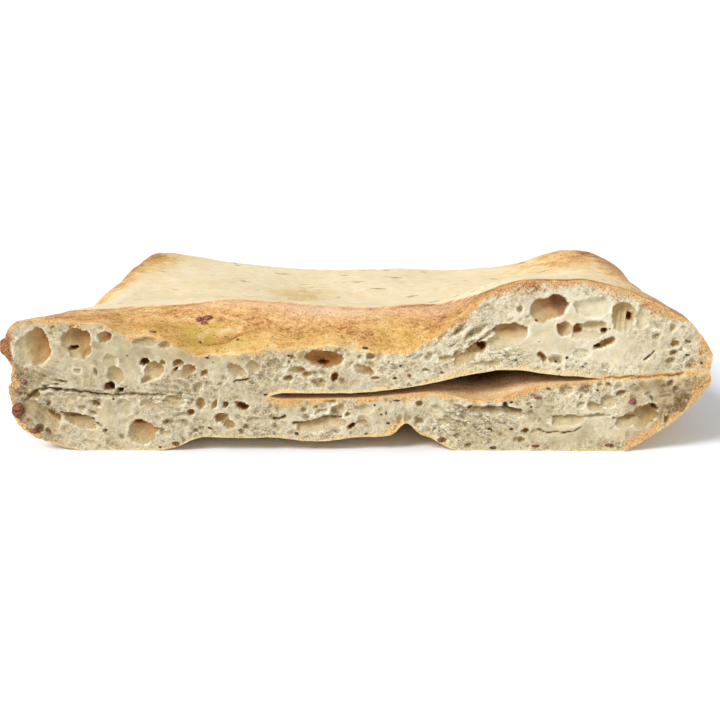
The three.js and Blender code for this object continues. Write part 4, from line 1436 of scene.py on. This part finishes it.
def make_grain_group():
    """Fine unevenness of baked dough, as a height and as a tone."""
    nodes, given, out = new_group("Dough grain", {"Size": 1.0, "Sharpness": 0.5}, ("Height", "Tone"))
    place = nodes.place()
    scale = nodes.math("DIVIDE", 1000.0, given.outputs["Size"])
    soft = nodes.noise(place, scale, 4.0, 0.6)
    cells = nodes.voronoi(place, scale).outputs["Distance"]
    pits = nodes.math("MULTIPLY", cells, given.outputs["Sharpness"])
    nodes.tree.links.new(nodes.math("ADD", soft, pits), out.inputs["Height"])
    nodes.tree.links.new(nodes.noise(place, scale, 2.0, 0.5, 3.1), out.inputs["Tone"])


def make_foam_group():
    """Tiny bubbles of the crumb: how far each place lies in a bubble, and on the wall between two."""
    nodes, given, out = new_group("Foam", {"Size": 1.0}, ("Bubble", "Wall"))
    place = nodes.bent(nodes.place(), 700.0, 2.0, 0.0009)
    scale = nodes.math("DIVIDE", 1000.0, given.outputs["Size"])
    away = nodes.voronoi(place, scale, "DISTANCE_TO_EDGE").outputs["Distance"]
    nodes.tree.links.new(nodes.span(away, 0.06, 0.4), out.inputs["Bubble"])
    nodes.tree.links.new(nodes.span(away, 0.12, 0.0), out.inputs["Wall"])


def make_hair_group():
    """Thin winding lines, as the torn membranes and fibres of dough leave them."""
    nodes, given, out = new_group("Hairs", {"Size": 2.0, "Width": 0.02}, ("Mask",))
    place = nodes.place()
    place = nodes.add("ShaderNodeMapping", {"Vector": place, "Scale": (0.55, 1.0, 1.3)}).outputs[0]
    field = nodes.noise(place, nodes.math("DIVIDE", 1000.0, given.outputs["Size"]), 3.0, 0.6, 13.7)
    away = nodes.math("ABSOLUTE", nodes.math("SUBTRACT", field, 0.5))
    limits = {"Value": away, "From Min": given.outputs["Width"], "From Max": 0.0}
    nodes.tree.links.new(nodes.add("ShaderNodeMapRange", limits).outputs[0], out.inputs["Mask"])


def new_material(name):
    material = bpy.data.materials.new(name)
    material.use_nodes = True
    return material, Nodes(material.node_tree)


def finish_material(nodes, colour, roughness, height, strength, distance, **shader):
    bump = nodes.add("ShaderNodeBump", {"Height": height, "Strength": strength, "Distance": distance})
    inputs = {
        "Base Color": colour,
        "Roughness": roughness,
        "Normal": bump.outputs["Normal"],
        "Specular IOR Level": 0.3,
        **shader,
    }
    surface = nodes.add("ShaderNodeBsdfPrincipled", inputs)
    nodes.add("ShaderNodeOutputMaterial", {"Surface": surface.outputs[0]})


def make_crust_material(colours):
    _, nodes = new_material("crust")
    place = nodes.place()
    bake = nodes.attribute("bake")
    coarse = nodes.group("Dough grain", {"Size": 4.0, "Sharpness": 0.2})
    fine = nodes.group("Dough grain", {"Size": 0.8, "Sharpness": 0.6})
    streaks = nodes.add("ShaderNodeMapping", {"Vector": place, "Scale": (0.5, 1.0, 1.3)}).outputs[0]
    wrinkles = nodes.noise(streaks, 900.0, 3.0, 0.6)
    tone = nodes.math("ADD", bake, nodes.span(coarse.outputs["Tone"], 0.3, 0.7, -0.07, 0.07))
    grains = nodes.noise(place, 3400.0, 2.0, 0.6, 12.5)
    mottle = nodes.math("ADD", nodes.span(fine.outputs["Tone"], 0.3, 0.7, -0.08, 0.08),
                        nodes.span(wrinkles, 0.35, 0.65, -0.06, 0.06))
    mottle = nodes.math("ADD", mottle, nodes.span(grains, 0.35, 0.65, -0.08, 0.08))
    drawn = nodes.noise(streaks, 260.0, 4.0, 0.65, 19.4)
    mottle = nodes.math("ADD", mottle, nodes.span(drawn, 0.35, 0.65, -0.10, 0.08))
    lines = nodes.group("Hairs", {"Size": 2.6, "Width": 0.04}).outputs["Mask"]
    mottle = nodes.math("ADD", mottle, nodes.math("MULTIPLY", lines, 0.24))
    mottle = nodes.math("MULTIPLY", mottle, nodes.span(bake, 0.65, 0.9, 1.0, 0.35))
    tone = nodes.math("ADD", tone, nodes.math("MULTIPLY", mottle, nodes.span(bake, 0.1, 0.4, 0.12, 1.0)))
    colour = nodes.ramp(
        tone,
        (
            (0.0, colours["flour"]),
            (0.2, colours["pale"]),
            (0.4, colours["golden"]),
            (0.6, colours["orange"]),
            (0.8, colours["brown"]),
            (1.0, colours["burnt"]),
        ),
    )
    browned = nodes.span(bake, 0.2, 0.5)
    stained = nodes.span(coarse.outputs["Tone"], 0.3, 0.6, 0.5, 1.0)
    oily = nodes.math("MULTIPLY", nodes.attribute("oily"), stained)
    colour = nodes.blend(nodes.math("MULTIPLY", oily, 0.8), colour, colours["oily"])
    dust = nodes.span(nodes.noise(place, 2300.0, 2.0, 0.6, 15.1), 0.42, 0.6, 0.45, 1.0)
    dust = nodes.math("MULTIPLY", dust, nodes.attribute("floury"))
    colour = nodes.blend(nodes.math("MULTIPLY", dust, 0.9), colour, colours["dust"])
    specks = nodes.group("Specks", {"Spacing": 1.2, "Radius": 0.23, "Share": 0.7}).outputs["Mask"]
    small_specks = nodes.group("Specks", {"Spacing": 0.65, "Radius": 0.17, "Share": 0.75}).outputs["Mask"]
    clusters = nodes.span(nodes.noise(place, 190.0, 2.0, 0.5, 18.2), 0.42, 0.62, 0.15, 1.0)
    specks = nodes.math("MAXIMUM", specks, nodes.math("MULTIPLY", small_specks, clusters))
    specks = nodes.math("MULTIPLY", specks, nodes.math("ADD", 0.10, browned))
    colour = nodes.blend(nodes.math("MULTIPLY", specks, 0.8), colour, colours["speck"])
    flecks = nodes.span(nodes.noise(streaks, 260.0, 2.0, 0.5, 7.7), 0.64, 0.74)
    flecks = nodes.math("MULTIPLY", flecks, nodes.math("SUBTRACT", 1.0, browned))
    colour = nodes.blend(nodes.math("MULTIPLY", flecks, 0.9), colour, colours["olive"])
    finer = nodes.math("MULTIPLY", fine.outputs["Height"], 0.5)
    height = nodes.math("ADD", coarse.outputs["Height"], finer)
    height = nodes.math("ADD", height, nodes.math("MULTIPLY", wrinkles, 0.35))
    rough = nodes.span(bake, 0.1, 0.7, 0.9, 0.6)
    finish_material(
        nodes, colour, rough, height, 0.5, 0.0005,
        **{"Subsurface Weight": 0.08, "Subsurface Radius": (0.004, 0.002, 0.001), "Subsurface Scale": 1.0},
    )


def make_crumb_material(colours):
    _, nodes = new_material("crumb")
    place = nodes.place()
    grain = nodes.group("Dough grain", {"Size": 0.9, "Sharpness": 0.9})
    fine = nodes.noise(place, 2600.0, 2.0, 0.6, 5.5)
    drift = nodes.noise(place, 130.0, 3.0, 0.6, 2.2)
    small_foam = nodes.group("Foam", {"Size": 0.9}).outputs
    large_foam = nodes.group("Foam", {"Size": 2.0}).outputs
    dense = nodes.attribute("dense")
    # Painted shade and highlight: tiny bubbles are painted darker and the walls between them paler; the same
    # pattern also goes into the bump
    bubbles = nodes.math("ADD", nodes.math("MULTIPLY", small_foam["Bubble"], 0.16),
                         nodes.math("MULTIPLY", large_foam["Bubble"], 0.12))
    foam_walls = nodes.math("ADD", nodes.math("MULTIPLY", small_foam["Wall"], -0.10),
                            nodes.math("MULTIPLY", large_foam["Wall"], -0.26))
    foam = nodes.math("MULTIPLY", nodes.math("ADD", bubbles, foam_walls), dense)
    hollow = nodes.math("ADD", nodes.attribute("hollowness"), foam)
    grainy = nodes.math("MULTIPLY", nodes.span(fine, 0.3, 0.7, -0.12, 0.12), nodes.math("ADD", 0.25, dense))
    hollow = nodes.math("ADD", hollow, grainy)
    hollow = nodes.math("ADD", hollow, nodes.span(drift, 0.35, 0.65, -0.10, 0.10))
    # Painted light and shade: the crumb runs from white on its ridges through cream and ivory to tan and pit
    # in its hollows
    colour = nodes.ramp(
        nodes.add("ShaderNodeMapRange", {"Value": hollow, "From Min": -0.4, "From Max": 0.9}).outputs[0],
        (
            (0.0, colours["white"]),
            (0.22, colours["cream"]),
            (0.45, colours["ivory"]),
            (0.75, colours["tan"]),
            (1.0, colours["pit"]),
        ),
    )
    warm = nodes.span(nodes.noise(place, 210.0, 4.0, 0.65, 6.1), 0.5, 0.66, 0.0, 0.35)
    colour = nodes.blend(warm, colour, colours["warm"])
    cool = nodes.span(nodes.noise(place, 260.0, 4.0, 0.65, 9.3), 0.5, 0.68, 0.0, 0.35)
    colour = nodes.blend(cool, colour, colours["grey"])
    hairs = nodes.group("Hairs", {"Size": 1.4, "Width": 0.05}).outputs["Mask"]
    tangled = nodes.span(nodes.noise(place, 210.0, 3.0, 0.6, 1.7), 0.45, 0.6, 0.0, 0.75)
    tangled = nodes.math("MULTIPLY", tangled, dense)
    tangled = nodes.math("ADD", tangled, nodes.math("MULTIPLY", nodes.attribute("fibres"), 0.6), True)
    colour = nodes.blend(nodes.math("MULTIPLY", hairs, tangled), colour, colours["hair"])
    # The cells' walls: their own colour in part and painted shade in part, browner and darker in the deeper
    # cells
    walls = nodes.ramp(
        nodes.attribute("brown"),
        (
            (0.1, colours["wall_pale"]),
            (0.45, colours["wall"]),
            (0.8, colours["wall_brown"]),
            (1.0, colours["wall_dark"]),
        ),
    )
    colour = nodes.blend(nodes.math("MULTIPLY", nodes.attribute("walls"), 0.95), colour, walls)
    # Painted shade: the crumb is painted darker the deeper it lies behind the cut
    deep = nodes.span(nodes.attribute("behind"), 2.2, 5.0, 0.0, 0.6)
    colour = nodes.blend(deep, colour, colours["wall_dark"])
    wander = nodes.span(nodes.noise(place, 600.0, 3.0, 0.6, 4.4), 0.3, 0.7, -0.25, 0.25)
    edge = nodes.math("ADD", nodes.attribute("edge"), wander)
    granular = nodes.noise(place, 1700.0, 2.0, 0.6, 20.3)
    edge = nodes.math("ADD", edge, nodes.span(granular, 0.35, 0.65, -0.45, 0.45))
    edge_bake = nodes.math("ADD", nodes.attribute("edge_bake"), nodes.span(fine, 0.3, 0.7, -0.25, 0.25))
    baked = nodes.ramp(
        edge_bake,
        (
            (0.1, colours["rim_pale"]),
            (0.35, colours["golden"]),
            (0.6, colours["orange"]),
            (0.85, colours["brown"]),
            (1.0, colours["wall_dark"]),
        ),
    )
    colour = nodes.blend(nodes.span(edge, 1.35, 0.6, 0.0, 0.9), colour, baked)
    flecks = nodes.group("Specks", {"Spacing": 2.4, "Radius": 0.36, "Share": 0.5}).outputs["Mask"]
    flecks = nodes.math("MULTIPLY", flecks, nodes.math("ADD", 0.1, dense))
    colour = nodes.blend(nodes.math("MULTIPLY", flecks, 0.8), colour, colours["hair"])
    specks = nodes.group("Specks", {"Spacing": 0.8, "Radius": 0.18, "Share": 0.7}).outputs["Mask"]
    gathered = nodes.span(nodes.noise(place, 160.0, 2.0, 0.5, 8.8), 0.42, 0.56, 0.2, 1.0)
    gathered = nodes.math("MULTIPLY", gathered, nodes.math("ADD", 0.1, dense))
    gathered = nodes.math("MAXIMUM", gathered, nodes.span(edge, 2.0, 0.8, 0.0, 0.5))
    colour = nodes.blend(nodes.math("MULTIPLY", specks, gathered), colour, colours["speck"])
    height = nodes.math("ADD", grain.outputs["Height"], nodes.math("MULTIPLY", fine, 0.4))
    height = nodes.math("SUBTRACT", height, nodes.math("MULTIPLY", foam, 6.0))
    finish_material(
        nodes, colour, 0.6, height, 0.3, 0.0003,
        **{
            "Specular IOR Level": 0.15,
            "Subsurface Weight": 0.2,
            "Subsurface Radius": (0.004, 0.0025, 0.0013),
            "Subsurface Scale": 0.5,
        },
    )


def make_bit_material(name, colour, darker, rough):
    _, nodes = new_material(name)
    grain = nodes.group("Dough grain", {"Size": 0.6, "Sharpness": 0.5})
    mixed = nodes.blend(nodes.span(grain.outputs["Tone"], 0.35, 0.65), colour, darker)
    finish_material(nodes, mixed, rough, grain.outputs["Height"], 0.6, 0.0002)


def make_floor_material(colour):
    material, nodes = new_material("floor")
    place = nodes.place()
    tone = nodes.span(nodes.noise(place, 3.0, 2.0), 0.3, 0.7, 0.0, 0.15)
    mixed = nodes.blend(tone, tuple(colour), tuple(c * 0.98 for c in colour))
    surface = nodes.add("ShaderNodeBsdfPrincipled", {"Base Color": mixed, "Roughness": 0.9})
    nodes.add("ShaderNodeOutputMaterial", {"Surface": surface.outputs[0]})
    return material


# ---------------------------------------------------------------------------------------------------------
# Settings
# ---------------------------------------------------------------------------------------------------------
def colour_property(name, description, rgb):
    return FloatVectorProperty(
        name=name, description=description, subtype="COLOR", size=3, min=0.0, max=1.0, default=linear(*rgb)
    )


class PinsaBread(PropertyGroup):
    crumb_step: FloatProperty(
        name="Crumb step",
        description="Spacing of the cut face's fine relief",
        default=0.38 * MM,
        min=0.2 * MM,
        unit="LENGTH",
    )
    seed: IntProperty(name="Seed", description="Start of every random draw", default=7)


class PinsaColours(PropertyGroup):
    flour: colour_property("Flour", "Floury top crust", (235, 221, 190))
    pale: colour_property("Pale", "Barely baked crust", (231, 208, 162))
    golden: colour_property("Golden", "Golden crust", (224, 184, 122))
    orange: colour_property("Orange", "Well baked crust", (208, 156, 94))
    brown: colour_property("Brown", "Brown crust", (174, 116, 64))
    burnt: colour_property("Burnt", "Darkest crust", (66, 40, 27))
    oily: colour_property("Oily", "Crust that oil stained", (190, 161, 72))
    dust: colour_property("Dust", "Flour on the ridge", (238, 200, 168))
    olive: colour_property("Olive", "Flecks under the flour", (150, 140, 98))
    speck: colour_property("Speck", "Dark specks", (72, 54, 40))
    # White on the crumb's ridges is painted highlight, tan and pit in its hollows are painted shade
    white: colour_property("White", "Ridges of the crumb", (237, 228, 205))
    cream: colour_property("Cream", "Crumb at the cut", (222, 211, 181))
    ivory: colour_property("Ivory", "Crumb just behind the cut", (201, 187, 154))
    tan: colour_property("Tan", "Small hollows", (160, 140, 102))
    pit: colour_property("Pit", "Deepest small hollows", (118, 89, 55))
    warm: colour_property("Warm crumb", "Yellower patches of the crumb", (224, 198, 154))
    hair: colour_property("Hair", "Fine torn lines in the crumb", (94, 78, 58))
    grey: colour_property("Grey crumb", "Greyer patches of the crumb", (190, 182, 168))
    # Colours of the cells' walls, partly painted shade: the browner ones go where cells are deeper
    wall_pale: colour_property("Pale wall", "Walls of the palest cells", (214, 202, 168))
    wall: colour_property("Wall", "Walls of most cells", (183, 156, 103))
    wall_brown: colour_property("Brown wall", "Walls of browner cells", (168, 114, 54))
    wall_dark: colour_property("Dark wall", "Walls of the darkest cells", (122, 64, 12))
    rim_pale: colour_property("Pale rim", "Crumb next to the palest crust", (228, 208, 160))
    bran: colour_property("Bran", "Bran flakes", (88, 66, 50))
    bran_dark: colour_property("Dark bran", "Darker parts of the bran flakes", (52, 38, 30))
    red_bran: colour_property("Red bran", "Reddish bran", (150, 92, 78))
    red_bran_dark: colour_property("Dark red bran", "Darker parts of the reddish bran", (110, 56, 52))
    bit: colour_property("Bit", "Burnt bits", (150, 88, 48))
    bit_dark: colour_property("Dark bit", "Darker parts of the burnt bits", (66, 36, 24))


class PinsaStage(PropertyGroup):
    floor_colour: colour_property("Floor", "Colour of the floor", (243, 248, 255))
    key_power: FloatProperty(name="Key light", description="Strength of the main light", default=2.7)
    key_spread: FloatProperty(
        name="Key spread",
        description="How wide the main light is",
        default=math.radians(22),
        subtype="ANGLE",
    )
    sky: FloatProperty(name="Sky", description="Strength of the even light from all sides", default=0.56)
    backdrop: FloatProperty(name="Backdrop", description="Brightness beyond the floor", default=1.05)
    lens: FloatProperty(name="Lens", description="Focal length in millimetres", default=55.0)
    tilt: FloatProperty(
        name="Tilt",
        description="How far the camera looks down",
        default=math.radians(14.5),
        subtype="ANGLE",
    )
    distance: FloatProperty(
        name="Distance",
        description="From the camera to the cut",
        default=EYE["distance"] * MM,
        unit="LENGTH",
    )
    height: FloatProperty(
        name="Height",
        description="How high the camera stands",
        default=EYE["height"] * MM,
        unit="LENGTH",
    )


FLOOR_SIZE = 7.0
BACKDROP = {"radius": 3.0, "height": 0.8, "sides": 96}
KEY_FROM = (-0.55, -0.42, 0.6)  # where the main light stands
CAMERA = {"sensor_width": 36, "clip_start": 0.01}


# ---------------------------------------------------------------------------------------------------------
# Operators
# ---------------------------------------------------------------------------------------------------------
def finish_piece(piece, slot):
    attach(piece, "root")
    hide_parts("pinsa")


class PINSA_OT_materials(Operator):
    """Makes the shared effects and every finish"""

    bl_idname = "pinsa.materials"
    bl_label = "Materials"

    def execute(self, context):
        settings = context.scene.pinsa_colours
        colours = {name: tuple(getattr(settings, name)) for name in PinsaColours.__annotations__}
        make_speck_group()
        make_grain_group()
        make_foam_group()
        make_hair_group()
        make_crust_material(colours)
        make_crumb_material(colours)
        make_bit_material("bran", colours["bran"], colours["bran_dark"], 0.6)
        make_bit_material("red_bran", colours["red_bran"], colours["red_bran_dark"], 0.6)
        make_bit_material("burnt_bit", colours["bit"], colours["bit_dark"], 0.4)
        return {"FINISHED"}


def sharpen_border(bread):
    """Keeps the edge between crust and crumb sharp in an otherwise smoothly shaded mesh."""
    mesh = bread.data
    materials = np.empty(len(mesh.polygons), dtype=np.int64)
    corners_of = np.empty(len(mesh.polygons), dtype=np.int64)
    edges = np.empty(len(mesh.loops), dtype=np.int64)
    mesh.polygons.foreach_get("material_index", materials)
    mesh.polygons.foreach_get("loop_total", corners_of)
    mesh.loops.foreach_get("edge_index", edges)
    each = np.repeat(materials, corners_of)
    least, most = np.full(len(mesh.edges), 9), np.full(len(mesh.edges), -1)
    np.minimum.at(least, edges, each)
    np.maximum.at(most, edges, each)
    mesh.edges.foreach_set("use_edge_sharp", least != most)


class PINSA_OT_bread(Operator):
    """Bakes the two layers into one loaf, cuts it and opens the crumb"""

    bl_idname = "pinsa.bread"
    bl_label = "Bread"

    def execute(self, context):
        bread, crust_tree, maps = build_bread(context.scene.pinsa_bread)
        add_tones(bread, crust_tree, maps)
        make_active(bread)
        bpy.ops.object.shade_smooth()
        sharpen_border(bread)
        finish_piece(bread, "baked_crust")
        return {"FINISHED"}


class PINSA_OT_bits(Operator):
    """Lays bran and burnt bits on the bread"""

    bl_idname = "pinsa.bits"
    bl_label = "Bits"

    def execute(self, context):
        bread = bpy.data.objects.get("bread")
        if bread is None:
            raise RuntimeError("the bread has to be made before its bits")
        tree = BVHTree.FromObject(bread, bpy.context.evaluated_depsgraph_get())
        seed = context.scene.pinsa_bread.seed
        for name, bits in BITS.items():
            stray = tuple(stray_bits(seed)) if name == "bran" else ()
            finish_piece(bits_block(name, bits + stray, tree, seed), BIT_SLOTS[name])
        return {"FINISHED"}


class PINSA_OT_stage(Operator):
    """Lays the floor and sets the light and the camera"""

    bl_idname = "pinsa.stage"
    bl_label = "Stage"

    def execute(self, context):
        stage = context.scene.pinsa_stage
        bpy.ops.mesh.primitive_plane_add(size=FLOOR_SIZE, location=(0, 0, 0))
        floor = name_new("floor")
        floor.data.materials.append(make_floor_material(stage.floor_colour))
        add_backdrop(stage)
        add_lights(context.scene, stage)
        add_camera(context.scene, stage)
        return {"FINISHED"}


def add_backdrop(stage):
    """A bright ring around the stage, which is what the view sees beyond the floor."""
    bpy.ops.mesh.primitive_cylinder_add(
        vertices=BACKDROP["sides"], radius=BACKDROP["radius"], depth=BACKDROP["height"],
        end_fill_type="NOTHING", location=(0, 0, BACKDROP["height"] / 2),
    )
    backdrop = name_new("backdrop")
    material, nodes = new_material("backdrop")
    glow = nodes.add("ShaderNodeEmission", {"Color": (1, 1, 1, 1), "Strength": stage.backdrop})
    nodes.add("ShaderNodeOutputMaterial", {"Surface": glow.outputs[0]})
    backdrop.data.materials.append(material)


def add_camera(scene, stage):
    place = (-MIDDLE_X * MM, CUT_Y * MM - stage.distance, stage.height)
    bpy.ops.object.camera_add(location=place, rotation=(math.pi / 2 - stage.tilt, 0, 0))
    camera = bpy.context.object
    camera.name = "camera"
    camera.data.lens = stage.lens
    camera.data.sensor_width = CAMERA["sensor_width"]
    camera.data.clip_start = CAMERA["clip_start"]
    scene.camera = camera


def add_lights(scene, stage):
    world = bpy.data.worlds.new("studio")
    world.use_nodes = True
    nodes = Nodes(world.node_tree)
    sky = nodes.add("ShaderNodeBackground", {"Color": (1, 1, 1, 1), "Strength": stage.sky})
    nodes.add("ShaderNodeOutputWorld", {"Surface": sky.outputs[0]})
    scene.world = world
    scene.view_settings.view_transform = "Standard"
    bpy.ops.object.light_add(type="SUN", location=KEY_FROM)
    key = bpy.context.object
    key.name = "key_light"
    key.data.energy = stage.key_power
    key.data.angle = stage.key_spread
    key.rotation_euler = Vector(KEY_FROM).to_track_quat("Z", "Y").to_euler()


class VIEW3D_PT_pinsa(Panel):
    """Lists the piece's operators and settings"""

    bl_label = "Pinsa"
    bl_space_type = "VIEW_3D"
    bl_region_type = "UI"
    bl_category = "Pinsa"

    def draw(self, context):
        layout = self.layout
        for operator in OPERATORS:
            layout.operator(operator.bl_idname)
        for owner in (context.scene.pinsa_bread, context.scene.pinsa_colours, context.scene.pinsa_stage):
            for name in owner.__annotations__:
                layout.prop(owner, name)


OPERATORS = (PINSA_OT_materials, PINSA_OT_bread, PINSA_OT_bits, PINSA_OT_stage)
CLASSES = (PinsaBread, PinsaColours, PinsaStage, *OPERATORS, VIEW3D_PT_pinsa)


def register():
    for cls in CLASSES:
        bpy.utils.register_class(cls)
    bpy.types.Scene.pinsa_bread = PointerProperty(type=PinsaBread)
    bpy.types.Scene.pinsa_colours = PointerProperty(type=PinsaColours)
    bpy.types.Scene.pinsa_stage = PointerProperty(type=PinsaStage)


def unregister():
    del bpy.types.Scene.pinsa_bread
    del bpy.types.Scene.pinsa_colours
    del bpy.types.Scene.pinsa_stage
    for cls in reversed(CLASSES):
        bpy.utils.unregister_class(cls)


def main():
    register()
    bpy.ops.pinsa.materials()
    bpy.ops.pinsa.bread()
    bpy.ops.pinsa.bits()
    bpy.ops.pinsa.stage()


if __name__ == "__main__":
    main()
